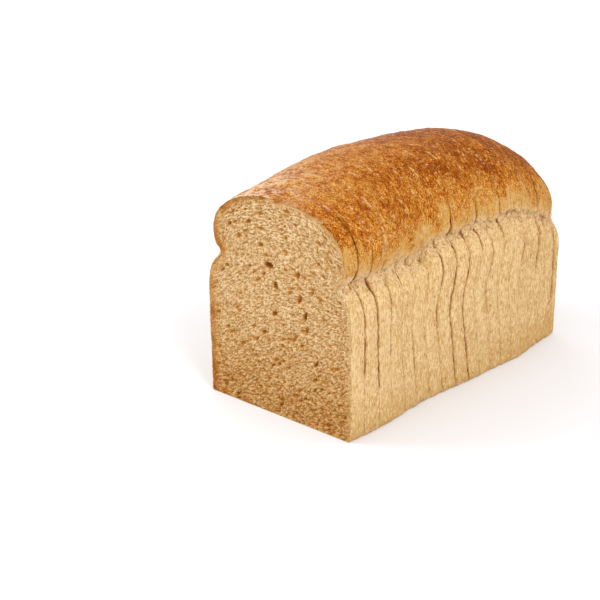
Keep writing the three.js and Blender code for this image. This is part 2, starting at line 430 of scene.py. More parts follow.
    def slip(self, y: Array, z: Array) -> Array:
        """How far the stack has slipped towards the heel.

        The foot's slip is a soft ramp below the waist and the shoulder's a smooth step
        above it; both are sines along the loaf, so the ends stay in place.

        Args:
            y: Places along the straight loaf.
            z: Heights.

        Returns:
            The slip at each point.
        """
        along = np.clip(y / self.length, 0.0, 1.0)
        below = (self.waist_height - z) / self.waist_height
        foot = (np.sqrt(below * below + self.waist_bend) + below) / 2.0
        shoulder = smooth_step(z, self.waist_height, self.shoulder_slip_top)
        shoulder = shoulder - self.crown_return * smooth_step(z, *self.crown_return_heights)
        foot_slip = self.foot_slip * np.sin(pi * along) ** self.foot_slip_power
        reached = np.clip((y - self.shoulder_slip_start) / self.shoulder_slip_length, 0.0, 1.0)
        return foot_slip * foot + self.shoulder_slip * np.sin(pi * reached) * shoulder

    def side_sway(self, y: float) -> float:
        """How far the slice at y has slid to one side."""
        pushes = (s.push * bell(y, s.at, s.reach) for s in self.sways)
        return self.centre_step + float(sum(pushes))

    def seam(self, cut: int, z: Array) -> Array:
        """How open a cut is at each height, which also sets how much shade is painted there.

        Args:
            cut: The cut's number; 0 is the open face.
            z: Heights.

        Returns:
            0 where the crumb has closed up, and about 1 where the slices have parted.
        """
        if cut == 0:
            return np.zeros(np.shape(z))
        wander = noise(cut * 3.7, LINE_LAYER, z / self.seam_break_height, 61)
        broken = np.clip(0.75 + 0.8 * wander, 0.15, 1.0)
        strength = np.full(np.shape(z), self.seam_ground)
        fade = self.seam_fade
        for seam in self.seams:
            if seam.cut == cut:
                rise = smooth_step(z, seam.low - fade, seam.low + fade)
                fall = smooth_step(z, seam.high + fade, seam.high - fade)
                strength = strength + seam.dark * rise * fall
        return strength * broken * smooth_step(z, *self.seam_top)

    def half_gap(self, cut: int, z: Array) -> Array:
        """Half of the gap at a cut, wider where the slices have parted."""
        return (self.closed_gap + self.open_gap * self.seam(cut, z)) / 2.0

    def cut_place(self, cut: int, x: Array, z: Array, rim: Number = 1.0) -> Array:
        """The middle of a cut before the stack sagged.

        It is a plane with the saw's slight waves, which is also jagged near the crust.

        Args:
            cut: The cut's number; 0 is the open face.
            x: Sideways places.
            z: Heights.
            rim: 1 at the crust and 0 in the crumb.

        Returns:
            The place along the straight loaf.
        """
        if cut == 0:
            return np.zeros(np.broadcast(x, z).shape)
        phase = cut * 1.7
        wave = np.sin(z / self.saw_wave_height + phase) * np.cos(x / self.saw_wave_width + phase * 0.6)
        jag = sum(part * noise(x / cell, cut * 7.3, z / cell, seed) for cell, part, seed in self.jag_cells)
        return cut * self.slice_thickness + self.saw_wave * wave + self.jag * jag * rim

    def heel_tear(self, y: Array, z: Array) -> Array:
        """How far the torn line draws the heel's end in.

        Args:
            y: Places along the straight loaf.
            z: Heights.

        Returns:
            The depth at each point, a bell curve over the torn line.
        """
        along = smooth_step(y, self.length - self.corner_radius, self.length)
        return self.tear_depth_at_heel * along * bell(z, self.tear_height_back, self.tear_reach)


@dataclass(frozen=True)
class CrustRelief:
    """The crust's real relief, always inwards, so that no piece outgrows its solid."""

    swell: float = 0.7
    bump: float = 0.5
    wrinkle: float = 0.5
    grain: float = 0.34
    side_ridge: float = 0.5
    side_thread: float = 0.45
    side_pit: float = 0.55
    shred: float = 2.0
    torn_grain: float = 3.6
    torn_reach: float = 4.2
    tear_wobble: float = 2.4
    wobble_reach: float = 8.0
    wobble_side: float = 7.0
    edge_round: float = 0.3
    edge_reach: float = 0.45
    pillow: float = 0.3
    pillow_reach: float = 5.5
    shoulder_pillow: float = 0.45
    shoulder_reach: float = 13.0
    notch: float = 1.2
    notch_reach: float = 1.2
    stand_proud: float = 0.5
    base_wear: float = 0.8
    base_wear_height: float = 1.4
    base_wear_reach: float = 1.6
    base_wear_side: float = 5.0
    beside: tuple[float, float] = (44.0, 50.0)
    swells: Ripple = Ripple(17.0, 15.0, 17.0, 1)
    bumps: Ripple = Ripple(6.5, 4.6, 6.5, 2)
    wrinkles: Ripple = Ripple(4.2, 1.6, 4.2, 3)
    grains: Ripple = Ripple(1.5, 1.2, 1.5, 4)
    side_ridges: Ripple = Ripple(6.0, 1.9, 9.0, 5)
    shreds: Ripple = Ripple(3.4, 2.6, 3.0, 6)
    side_threads: Ripple = Ripple(3.0, 1.1, 4.5, 7)
    side_pits: Ripple = Ripple(2.0, 1.3, 2.6, 8)
    torn_grains: Ripple = Ripple(1.4, 1.2, 1.6, 10)
    wanders: tuple[Ripple, ...] = (Ripple(1.0, 7.5, 1.0, 11), Ripple(1.0, 2.6, 1.0, 12))
    wear: Ripple = Ripple(1.0, 3.4, 1.0, 13)
    fine_wear: Ripple = Ripple(1.6, 1.4, 1.0, 14)

    def wobble(self, x: Array, y: Array, z: Array, tear: Array, lift: float) -> Array:
        """How far the torn line's height wanders.

        Args:
            x: Sideways places; only their side counts.
            y: Places along the loaf.
            z: Heights.
            tear: The torn line's height at each place.
            lift: How much higher than its neighbours this slice tore.

        Returns:
            The change in height of each point, fading out 8 mm from the line.
        """
        side = np.sign(x) * self.wobble_side
        wander = 0.6 * self.wanders[0].line(y, side) + 0.6 * self.wanders[1].line(y, side)
        return (self.tear_wobble * wander + lift) * bell(z, tear, self.wobble_reach)

    def depth(self, x: Array, y: Array, z: Array, tear: Array) -> Array:
        """How far each crust point is pressed in.

        The crown has low swells, bumps and wrinkles that run across the loaf; the sides
        have ridges that run upwards; the tear is shredded.

        Args:
            x: Sideways places.
            y: Places along the loaf.
            z: Heights.
            tear: The torn line's height at each place.

        Returns:
            The depth at each point; the flat base has none.
        """
        crown = smooth_step(z, tear - 1.0, tear + 7.0)
        torn = bell(z, tear - 1.0, self.torn_reach)
        base = smooth_step(z, -0.1, 1.2)
        swell = self.swell * self.swells.dip(x, y, z)
        bump = self.bump * self.bumps.dip(x, y, z)
        wrinkle = self.wrinkle * self.wrinkles.dip(x, y, z)
        grain = self.grain * self.grains.dip(x, y, z)
        ridge = self.side_ridge * self.side_ridges.dip(x, y, z)
        thread = self.side_thread * self.side_threads.dip(x, y, z)
        pit = self.side_pit * np.clip(self.side_pits.at(x, y, z) - 0.25, 0.0, 1.0)
        shred = self.shred * np.clip(0.2 + 1.1 * self.shreds.at(x, y, z), 0.0, 1.0)
        shred = shred + self.grain * self.torn_grain * self.torn_grains.dip(x, y, z)
        upper, lower = crown * (bump + wrinkle), (1.0 - crown) * (ridge + thread + pit)
        return base * (swell + grain + upper + lower + torn * shred - self.stand_proud)

    def worn(self, x: Array, y: Array, z: Array) -> Array:
        """How much of the base's edge has crumbled away, none of it on the flat base itself.

        Args:
            x: Sideways places.
            y: Places along the loaf.
            z: Heights.

        Returns:
            The wear at each point.
        """
        side = np.sign(x) * self.base_wear_side
        fine = noise(x / self.fine_wear.across, y / self.fine_wear.along, LINE_LAYER, self.fine_wear.seed)
        ragged = np.clip(0.3 + self.wear.line(y, side) + 0.6 * fine, 0.0, 1.5)
        beside = smooth_step(np.abs(x), *self.beside) * (z > 0.05)
        return self.base_wear * ragged * bell(z, self.base_wear_height, self.base_wear_reach) * beside

    def sawn_depth(self, edge: Array, y: Array, z: Array, tear: Array) -> Array:
        """How far a slice's crust is drawn in towards its cuts.

        The edge itself is rounded; a power curve of the distance from the cut pillows the
        slice, most at its shoulder; and the corners at the tear are broken away.

        Args:
            edge: Distance from the nearest cut.
            y: Places along the loaf.
            z: Heights.
            tear: The torn line's height at each place.

        Returns:
            The extra depth at each point.
        """
        crown = smooth_step(z, tear, tear + 18.0)
        shoulder = bell(z, tear - 9.0, self.shoulder_reach)
        torn = bell(z, tear - 1.0, 5.0)
        pillow = np.clip(1.0 - edge / self.pillow_reach, 0.0, 1.0) ** 3
        broken = self.notch * np.clip(0.5 + 0.9 * noise(y / 9.0, z / 9.0, LINE_LAYER, 9), 0.0, 1.0)
        depth = self.edge_round * (1.0 - 0.85 * crown) * np.exp(-edge / self.edge_reach)
        depth = depth + (self.pillow * (1.0 - crown) + self.shoulder_pillow * shoulder) * pillow
        notched = broken * torn * np.exp(-edge / self.notch_reach)
        return smooth_step(z, 0.2, 3.0) * (depth + notched)


def crumb_level(x: Array, z: Array) -> Array:
    """The crumb's grain: its level lines follow the crown above and rise to the right below.

    Args:
        x: Sideways places.
        z: Heights.

    Returns:
        A height along which the grain is level.
    """
    upper = smooth_step(z, 50.0, 105.0)
    return z + upper * x * x / 110.0 - (1.0 - upper) * 0.42 * x


@dataclass(frozen=True)
class Hole:
    """One of the crumb's larger holes: its middle, half axes, tilt and depth."""

    x: float
    z: float
    long: float
    short: float
    tilt: float
    depth: float

    def bowl(self, x: Array, z: Array) -> Array:
        """How deep the hole is at each place, as half an ellipsoid.

        Args:
            x: Sideways places on the face.
            z: Heights on the face.

        Returns:
            The depth, 0 outside the hole.
        """
        turn = radians(self.tilt)
        along = (x - self.x) * cos(turn) + (z - self.z) * sin(turn)
        across = (z - self.z) * cos(turn) - (x - self.x) * sin(turn)
        reach = (along / self.long) ** 2 + (across / self.short) ** 2
        return self.depth * np.sqrt(np.clip(1.0 - reach, 0.0, 1.0))


@dataclass(frozen=True)
class PoreLayer:
    """Small pores of one size: a pore in a share of the cells that follow the grain."""

    wide: float
    high: float
    share: float
    depth: float
    seed: int
    smallest: float = 0.22
    spread: float = 0.36

    def bowls(self, x: Array, z: Array) -> Array:
        """Scatter the pores, each at random in its cell.

        Each pore is a bowl: the root of one minus the squared distance in radii.

        Args:
            x: Sideways places.
            z: Heights.

        Returns:
            How deep each point lies in a pore, in millimetres.
        """
        u = x / self.wide
        v = crumb_level(x, z) / self.high
        col = np.floor(u).astype(np.int64)
        row = np.floor(v).astype(np.int64)
        deepest = np.zeros(x.shape)
        for i in (-1, 0, 1):
            for j in (-1, 0, 1):
                draw = fields_of(lattice_hash((col + i, row + j), self.seed), 8, 4)
                du = u - (col + i + draw[0])
                dv = v - (row + j + draw[1])
                radius = self.smallest + self.spread * draw[2]
                bowl = np.sqrt(np.clip(1.0 - (du * du + dv * dv) / radius**2, 0.0, 1.0))
                deepest = np.maximum(deepest, np.where(draw[3] < self.share, bowl, 0.0))
        return self.depth * deepest


@dataclass(frozen=True)
class CrumbPores:
    """The pores of the open cut face, as dents in the crumb."""

    coarse: PoreLayer = PoreLayer(5.0, 2.4, 0.12, 1.2, 23)
    middle: PoreLayer = PoreLayer(3.4, 1.35, 0.45, 0.85, 24)
    fine: PoreLayer = PoreLayer(2.0, 0.95, 0.85, 0.75, 25)
    fray: float = 0.7
    fray_cell: float = 1.7
    crust_share: float = 0.85
    swell: float = 0.2
    swells: Ripple = Ripple(3.2, 1.0, 2.2, 26)
    grain: float = 0.16
    grains: Ripple = Ripple(1.3, 1.0, 0.9, 27)
    layer: float = 4.0
    holes: tuple[Hole, ...] = (
        Hole(-7.0, 90.5, 3.9, 2.0, -8.0, 2.6),
        Hole(-22.0, 113.0, 2.6, 1.3, 25.0, 1.7),
        Hole(-30.0, 103.0, 2.2, 1.5, 10.0, 1.5),
        Hole(-13.0, 101.0, 2.0, 1.5, 15.0, 1.7),
        Hole(-37.0, 108.5, 2.2, 1.3, 40.0, 1.6),
        Hole(7.5, 125.0, 3.0, 0.9, -6.0, 1.2),
        Hole(-13.0, 111.0, 4.6, 1.0, 5.0, 1.2),
        Hole(-22.0, 86.5, 1.7, 1.4, 0.0, 1.5),
        Hole(-40.0, 83.0, 1.8, 1.2, 30.0, 1.4),
        Hole(-32.0, 91.0, 1.7, 1.2, 20.0, 1.3),
        Hole(-2.0, 79.5, 2.1, 2.6, 10.0, 2.0),
        Hole(15.0, 90.0, 2.6, 1.6, 60.0, 1.6),
        Hole(16.0, 75.5, 1.6, 3.0, -15.0, 1.8),
        Hole(25.0, 82.0, 2.0, 1.2, 35.0, 1.4),
        Hole(9.0, 78.0, 1.8, 1.3, 30.0, 1.4),
        Hole(20.0, 66.5, 1.5, 3.4, -12.0, 2.0),
        Hole(21.0, 58.0, 1.6, 1.6, 0.0, 1.5),
        Hole(-3.0, 62.5, 2.6, 1.7, 25.0, 1.9),
        Hole(-11.0, 49.0, 2.4, 1.5, 40.0, 1.8),
        Hole(-17.0, 43.0, 1.8, 1.1, 30.0, 1.3),
        Hole(3.0, 44.0, 1.6, 1.2, 30.0, 1.3),
        Hole(28.0, 40.0, 3.2, 1.1, 50.0, 1.6),
        Hole(30.0, 100.0, 2.4, 0.9, -30.0, 1.2),
        Hole(0.0, 32.0, 2.0, 1.1, 25.0, 1.4),
        Hole(27.0, 24.0, 2.0, 1.1, 30.0, 1.3),
        Hole(20.0, 16.5, 2.2, 1.1, 25.0, 1.4),
        Hole(9.0, 21.0, 1.7, 1.0, 30.0, 1.2),
        Hole(32.0, 14.0, 1.8, 1.0, 30.0, 1.2),
    )

    def depth(self, x: Array, z: Array, rim: Array) -> Array:
        """How deep the crumb is pitted.

        Args:
            x: Sideways places on the face.
            z: Heights on the face.
            rim: 1 at the crust and 0 in the crumb.

        Returns:
            The depth of each point in millimetres.
        """
        cell = self.fray_cell
        fray_x = x + self.fray * noise(x / cell, z / cell, 0.3, 21)
        fray_z = z + self.fray * noise(x / cell, z / cell, 9.3, 22)
        depth = np.maximum(self.coarse.bowls(fray_x, fray_z), self.middle.bowls(fray_x, fray_z))
        depth = np.maximum(depth, self.fine.bowls(x, z))
        for hole in self.holes:
            depth = np.maximum(depth, hole.bowl(fray_x, fray_z))
        swell = self.swell * (1.0 + self.swells.on_face(x, z, self.layer))
        grain = self.grain * (1.0 + self.grains.on_face(x, z, self.layer))
        return (1.0 - self.crust_share * rim) * depth + (swell + grain)


POINT_VALUES = ("bake", "cut", "pale", "pore", "level")


@dataclass
class Surface:
    """A mesh in the making: its points, its faces and what the material reads at each point.

    The values are how brown a point is (bake), whether it is cut crumb (cut), how much pale
    crumb, floured crust and painted highlight show (pale), how much painted shade it takes
    from a pore, a crack or an open seam (pore), and the height along which its grain is
    level (level).
    """

    points: list[Array] = field(default_factory=list)
    values: dict[str, list[Array]] = field(default_factory=lambda: {name: [] for name in POINT_VALUES})
    quads: list[Array] = field(default_factory=list)
    triangles: list[Array] = field(default_factory=list)
    polygons: list[Array] = field(default_factory=list)
    count: int = 0

    def add(self, points: Array, **values: Number) -> Array:
        """Add points.

        Args:
            points: Places in millimetres, three numbers in the last axis.
            **values: The points' values by name; those left out are 0.

        Returns:
            The new points' numbers, in the shape of the points.
        """
        shape = points.shape[:-1]
        size = int(np.prod(shape))
        self.points.append(points.reshape(-1, 3))
        for name, store in self.values.items():
            value = np.broadcast_to(np.asarray(values.get(name, 0.0), dtype=np.float64), shape)
            store.append(value.ravel())
        self.count += size
        return np.arange(self.count - size, self.count).reshape(shape)

    def add_quads(self, *corners: Array) -> None:
        """Add faces of four corners, each corner an array of point numbers."""
        self.quads.append(np.stack([corner.ravel() for corner in corners], axis=1))

    def add_triangles(self, *corners: Array) -> None:
        """Add faces of three corners, each corner an array of point numbers."""
        self.triangles.append(np.stack([corner.ravel() for corner in corners], axis=1))

    def to_object(self, name: str, material: bpy.types.Material) -> bpy.types.Object:
        """Make the Blender object.

        Args:
            name: The piece's name.
            material: Its finish.

        Returns:
            The new object, linked to the scene.
        """
        points = np.concatenate(self.points) * MM
        groups = []
        for store in (self.quads, self.triangles):
            if store:
                groups += list(np.concatenate(store))
        groups += self.polygons
        loops = np.concatenate(groups).astype(np.int32)
        totals = np.array([len(g) for g in groups], dtype=np.int32)
        starts = np.concatenate([[0], np.cumsum(totals)[:-1]]).astype(np.int32)
        mesh = bpy.data.meshes.new(name)
        mesh.vertices.add(len(points))
        mesh.vertices.foreach_set("co", points.astype(np.float32).ravel())
        mesh.loops.add(len(loops))
        mesh.loops.foreach_set("vertex_index", loops)
        mesh.polygons.add(len(totals))
        mesh.polygons.foreach_set("loop_start", starts)
        mesh.update(calc_edges=True)
        mesh.polygons.foreach_set("use_smooth", np.ones(len(totals), dtype=bool))
        for label, store in self.values.items():
            layer = mesh.attributes.new(label, "FLOAT", "POINT")
            layer.data.foreach_set("value", np.concatenate(store).astype(np.float32))
        mesh.materials.append(material)
        thing = bpy.data.objects.new(name, mesh)
        bpy.context.scene.collection.objects.link(thing)
        return thing


@dataclass(frozen=True)
class BakeMap:
    """How brown the crust is, from 0 on the pale sides to 1 on the darkest crown."""

    side: float = 0.07
    side_foot: float = 0.1
    side_back: float = 0.02
    lip: float = 0.32
    crown: float = 0.69
    crown_rise: tuple[float, float] = (0.06, 0.7)
    low_rise: float = 48.0
    top_back: float = 0.2
    heel_fade: float = 0.1
    left_paler_and_sheen: float = 0.12
    patches: Ripple = Ripple(16.0, 13.0, 16.0, 31)
    mottles: Ripple = Ripple(6.5, 4.5, 6.5, 32)
    flecks: Ripple = Ripple(3.2, 1.6, 3.2, 36)
    side_patches: Ripple = Ripple(14.0, 9.0, 20.0, 33)
    torn_edges: Ripple = Ripple(5.0, 3.0, 6.0, 34)
    torn_share: float = 0.75
    # Floured patches on the left front of the crown, partly a painted highlight.
    flour_sheen_patches: Ripple = Ripple(5.0, 3.2, 5.0, 37)
    flour_sheen_flecks: Ripple = Ripple(2.2, 1.4, 2.2, 38)
    flour_sheen_left: float = 0.42
    flour_sheen_most: float = 0.8

    def crust(self, x: Array, y: Array, z: Array, tear: Array, ridge: Array) -> Array:
        """Work out the browning of crust points.

        Args:
            x: Sideways places.
            y: Places along the loaf.
            z: Heights.
            tear: The torn line's height at each place.
            ridge: The crown's height at each place.

        Returns:
            The browning of each point.
        """
        rise = np.clip((z - tear) / np.maximum(ridge - tear, self.low_rise), 0.0, 1.0)
        crown = blend(self.lip, self.crown, smooth_step(rise, *self.crown_rise))
        crown += self.top_back * smooth_step(rise, 0.35, 0.9) * smooth_step(y, 60.0, 120.0)
        crown -= self.heel_fade * smooth_step(y, 190.0, 207.0)
        # Paler towards the left front: lighter browning and a painted highlight.
        left_front = smooth_step(y, 70.0, 0.0) * smooth_step(x, 30.0, -30.0)
        crown -= self.left_paler_and_sheen * left_front
        crown += 0.2 * self.patches.at(x, y, z)
        crown += 0.15 * self.mottles.at(x, y, z)
        crown += 0.13 * self.flecks.at(x, y, z)
        foot, back = smooth_step(z, 26.0, 0.0), smooth_step(y, 90.0, 208.0)
        side = self.side + self.side_foot * foot + self.side_back * back
        side += 0.05 * self.side_patches.at(x, y, z)
        return blend(side, crown, smooth_step(z, tear - 1.5, tear + 5.0))

    def pale(self, x: Array, y: Array, z: Array, tear: Array) -> Array:
        """Where pale shredded crumb shows at the torn line, and floured patches with a painted highlight on
        the left front.

        Args:
            x: Sideways places.
            y: Places along the loaf.
            z: Heights.
            tear: The torn line's height at each place.

        Returns:
            How pale each point is, 0 to 1.
        """
        ragged = 3.0 * self.torn_edges.at(x, y, z)
        above = smooth_step(tear + 9.0 + ragged - z, 0.0, 7.0)
        below = smooth_step(z - (tear - 5.5 + ragged), 0.0, 5.0)
        # Floured patches on the crown's left front, which also paint its highlight there.
        floury_sheen = smooth_step(y, 84.0, 0.0) * smooth_step(x, 34.0, -24.0) * smooth_step(z, 92.0, 118.0)
        patchy = 0.9 * self.flour_sheen_patches.at(x, y, z) + 1.3 * self.flour_sheen_flecks.at(x, y, z)
        leftward = self.flour_sheen_left * smooth_step(x, 5.0, -35.0)
        patchy = np.clip(0.14 + leftward + 1.2 * patchy, 0.0, self.flour_sheen_most)
        return np.maximum(self.torn_share * above * below, floury_sheen * patchy)


class FaceDetail(Enum):
    """How a face is divided from its left edge to its right, as shares of its width."""

    PLAIN = (0.0, 0.004, 0.015, 0.25, 0.5, 0.75, 0.985, 0.996, 1.0)
    PORES = tuple(np.linspace(0.0, 1.0, 245))
    CLOSED = tuple(np.linspace(0.0, 1.0, 61))


@dataclass(frozen=True)
class CrustDetail:
    """The patterns that fray and tear a piece's crust next to its cuts, and paint shade into its cracks and
    open cuts.
    """

    broken: Ripple = Ripple(7.0, 9.0, 7.0, 35)
    fray_cells: tuple[tuple[float, int], ...] = ((8.0, 39), (2.2, 40))
    fray_crown: float = 0.85
    fray_side: float = 0.3
    crevices: Ripple = Ripple(2.4, 1.4, 1.8, 46)
    fine_crevices: Ripple = Ripple(1.1, 0.8, 0.9, 47)
    # The darkness in the cracks and beside open cuts is painted shade.
    crevice_shade: float = 0.9
    seam_dark: float = 0.9
    open_shade_reach: float = 0.45
    hidden_shade_reach: float = 1.3
    calm_length: float = 5.0
    base_clear: float = 3.0
    worn_lift: float = 0.8
    crown_gap: float = 1.0

    def fray(self, x: Array, y: Array, z: Array, cuts: Array, crown: Array) -> Array:
        """How pale and frayed the crust is along its closed cuts.

        Args:
            x: Sideways places.
            y: Places along the loaf.
            z: Heights.
            cuts: The nearest cut's number, one for each ring.
            crown: 1 on the crown and 0 on the sides.

        Returns:
            The share of pale crumb at the cut itself.
        """
        broken = np.clip(0.25 + 0.9 * self.broken.at(x, y, z), 0.0, 1.0)
        layer = cuts[:, None] * 3.1
        frayed = sum(noise(x / cell, layer, z / cell, seed) for cell, seed in self.fray_cells)
        crowned = self.fray_crown * crown * smooth_step(frayed, 0.1, 0.5)
        return np.maximum(self.fray_side * (1.0 - crown) * broken, crowned)

    def crevice(self, x: Array, y: Array, z: Array, tear: Array, depth: Array) -> Array:
        """Paint shade into the fine cracks of the torn line, where the crust is pressed in deepest.

        Args:
            x: Sideways places.
            y: Places along the loaf.
            z: Heights.
            tear: The torn line's height at each place.
            depth: How far each point is pressed in.

        Returns:
            The painted shade at each point.
        """
        cracks = self.crevices.at(x, y, z) + 0.6 * self.fine_crevices.at(x, y, z)
        deep = np.clip((depth - 1.0) / 1.3, 0.0, 1.0)
        return self.crevice_shade * bell(z, tear, 5.0) * smooth_step(cracks, 0.0, 0.4) * deep


@dataclass
class LoafPiece:
    """What a slice and the heel share: rings of crust between two closing faces."""

    form: LoafForm
    relief: CrustRelief
    bake: BakeMap
    side_step: float
    front_ease: float = 0.0
    back_ease: float = 0.0
    tear_lift: float = 0.0
    detail: CrustDetail = CrustDetail()
    surface: Surface = field(default_factory=Surface)

    def settle(self, x: Array, y: Array, z: Array, ease: Number = 0.0) -> Array:
        """Put points of the straight loaf where the sagged stack has them.

        Args:
            x: Sideways places.
            y: Places along the straight loaf.
            z: Heights.
            ease: How far each point is drawn sideways to meet the next slice.

        Returns:
            The points, three numbers in the last axis.
        """
        x, y, z = np.broadcast_arrays(x + ease, y, z)
        placed = (x + self.side_step, y + self.form.slip(y, z) - self.form.length / 2.0, z)
        return np.stack(placed, axis=-1)

    def pressed_in(self, x: Array, z: Array, depth: Array) -> tuple[Array, Array]:
        """Move ring points inwards along the outline's normal.

        Args:
            x: The rings' sideways places.
            z: The rings' heights.
            depth: How far to move each point.

        Returns:
            The new x and z, within the loaf's width and height; the base stays flat.
        """
        step_x = np.roll(x, -1, axis=1) - np.roll(x, 1, axis=1)
        step_z = np.roll(z, -1, axis=1) - np.roll(z, 1, axis=1)
        size = np.maximum(np.hypot(step_x, step_z), 1e-9)
        limit = self.form.base_half_width + self.form.side_bulge
        new_x = np.clip(x - depth * step_z / size, -limit, limit)
        new_z = np.where(z > self.detail.base_clear, z + depth * step_x / size, z)
        return new_x, np.minimum(new_z, self.form.crown_height_peak - self.detail.crown_gap)

    def seam_painted_shade(self, edge: Array, cuts: Array, seam: Array) -> Array:
        """Paint shade on the crust beside each cut: a fading dark line where the cut has opened, wider where
        the gap is hidden.

        Args:
            edge: Each ring's distance to its nearest cut.
            cuts: Each ring's nearest cut.
            seam: How far that cut is open, at each point.

        Returns:
            The darkness at each point.
        """
        hidden = cuts >= self.form.first_hidden_seam
        reach = np.where(hidden, self.detail.hidden_shade_reach, self.detail.open_shade_reach)[:, None]
        return self.detail.seam_dark * np.exp(-edge / reach) * np.clip(seam, 0.0, 1.0)

    def crust_rings(
        self, stations: Array, placed: Array, edge: Array, cuts: Array, ease: Array
    ) -> tuple[Array, Array, Array]:
        """Make the crust's rings with their relief and browning.

        The relief moves each point inwards along the outline's normal, and a little more
        next to a cut, so the sawn edges are soft. It dies out at the heel's end.

        Args:
            stations: The rings' places along the straight loaf.
            placed: Where each ring's points really are along it.
            edge: Distance from the nearest cut, one for each ring.
            cuts: The nearest cut's number, one for each ring.
            ease: How far each ring is drawn sideways to meet the next slice.

        Returns:
            The points' numbers, one row for each ring; the rings' x and z; and their x and z
            before any relief.
        """
        x, z = self.form.rings(stations)
        plain = np.stack([x, z], axis=-1)
        s = self.form.section(stations)
        tear, edge = s.tear_height[:, None], edge[:, None]
        calm = smooth_step(self.form.length - stations, 0.0, self.detail.calm_length)[:, None]
        z = z + calm * self.relief.wobble(x, placed, z, tear, self.tear_lift) * (z > 1.0)
        depth = self.relief.depth(x, placed, z, tear)
        depth = calm * (depth + self.relief.sawn_depth(edge, placed, z, tear))
        new_x, new_z = self.pressed_in(x, z, depth)
        worn = self.relief.worn(x, placed, z)
        new_x, new_z = new_x - worn * np.sign(x), new_z + self.detail.worn_lift * worn
        seam = np.stack([self.form.seam(int(cut), row) for cut, row in zip(cuts, z)])
        crown = smooth_step(z, tear + 2.0, tear + 12.0)
        frayed = self.detail.fray(x, placed, z, cuts, crown) * np.exp(-edge / self.relief.edge_reach)
        frayed = frayed * np.clip(1.0 - 2.0 * seam, 0.0, 1.0)
        crevice = self.detail.crevice(x, placed, z, tear, depth)
        numbers = self.surface.add(
            self.settle(new_x, placed, new_z, ease[:, None]),
            bake=self.bake.crust(x, placed, z, tear, s.ridge_height[:, None]),
            pale=np.maximum(self.bake.pale(x, placed, z, tear), frayed),
            # pore holds painted shade: in the torn line's cracks and beside open cuts
            pore=np.maximum(crevice, self.seam_painted_shade(edge, cuts, seam)),
            level=crumb_level(new_x, new_z),
        )
        ahead = np.roll(numbers, -1, axis=1)
        self.surface.add_quads(numbers[:-1], numbers[1:], ahead[1:], ahead[:-1])
        return numbers, np.stack([new_x, new_z], axis=-1), plain

    def close(
        self,
        ring: Array,
        outline: Array,
        plain: Array,
        place: Face,
        detail: FaceDetail,
        facing_back: bool,
        ease: float,
    ) -> None:
        """Close a ring with rows that run straight across from side to side.

        The rows join the outline as it was before its relief, and take up the relief's
        shift near either end, so they never cross.

        Args:
            ring: The ring's point numbers.
            outline: The ring's x and z.
            plain: The ring's x and z before its relief.
            place: Gives the place along the loaf, and the pore depth or painted shade, at x, z and the rim.
            detail: How the face is divided.
            facing_back: Whether the face looks towards the heel.
            ease: How far the face is drawn sideways to meet the next slice.
        """
        base = self.form.base_columns - 1
        rows = np.arange(1, self.form.half_count)
        right = base + rows
        left = len(ring) - 1 - rows
        share = np.array(detail.value)[None, 1:-1]
        x = blend(plain[left, 0][:, None], plain[right, 0][:, None], share)
        z = blend(plain[left, 1][:, None], plain[right, 1][:, None], share)
        for side in (left, right):
            shift = outline[side] - plain[side]
            near = np.exp(-np.abs(x - plain[side, 0][:, None]) / 4.0)
            x, z = x + shift[:, :1] * near, z + shift[:, 1:] * near
        rim = self.rim(x, z, outline)
        y, pore = place(x, z, rim)
        tone, cut = self.face_tone(x, z, rim, detail)
        points = self.settle(x, y, z, ease)
        inner = self.surface.add(points, bake=tone, cut=cut, pore=pore, level=crumb_level(x, z))
        grid = np.concatenate([ring[left][:, None], inner, ring[right][:, None]], axis=1)
        corners = [grid[:-1, :-1], grid[:-1, 1:], grid[1:, 1:], grid[1:, :-1]]
        ridge = np.full(grid.shape[1] - 1, ring[base + self.form.half_count])
        top = [grid[-1, :-1], grid[-1, 1:], ridge]
        foot = np.concatenate([ring[-1:], ring[: base + 1], grid[0, ::-1]])
        if facing_back:
            corners.reverse()
            top.reverse()
            foot = foot[::-1]
        self.surface.add_quads(*corners)
        self.surface.add_triangles(*top)
        self.surface.polygons.append(foot)

    def face_tone(self, x: Array, z: Array, rim: Array, detail: FaceDetail) -> tuple[Array, Array]:
        """How brown a face is and how much of it is cut crumb.

        Args:
            x: Sideways places on the face.
            z: Heights on the face.
            rim: 1 at the crust and 0 in the crumb.
            detail: How the face is divided.

        Returns:
            The browning, and 1 for cut crumb. A hidden face has the crust's colour at its rim.
        """
        if detail is FaceDetail.PLAIN:
            tone = blend(0.12, 0.62, smooth_step(z, 92.0, 112.0))
            return tone, 1.0 - smooth_step(rim, 0.3, 0.9)
        return self.crumb_tone(x, z, rim), np.full(x.shape, float(detail is FaceDetail.PORES))

    def rim(self, x: Array, z: Array, outline: Array) -> Array:
        """How near each point of a face lies to the crust, a reach that is wider on the left.

        Args:
            x: Sideways places on the face.
            z: Heights on the face.
            outline: The ring's x and z.

        Returns:
            1 at the crust, and 0 from 4 mm on, or from 7 mm on at the left.
        """
        flat = np.stack([x.ravel(), z.ravel()], axis=1)
        edge = outline[:: max(1, len(outline) // 220)]
        near = np.full(len(flat), 1e9)
        batch = 20000
        for start in range(0, len(flat), batch):
            part = flat[start : start + batch]
            gap = ((part[:, None, :] - edge[None, :, :]) ** 2).sum(axis=2)
            near[start : start + batch] = np.sqrt(gap.min(axis=1))
        reach = 4.0 + 3.0 * smooth_step(flat[:, 0], -20.0, -45.0)
        return (1.0 - smooth_step(near, 0.6, reach)).reshape(x.shape)

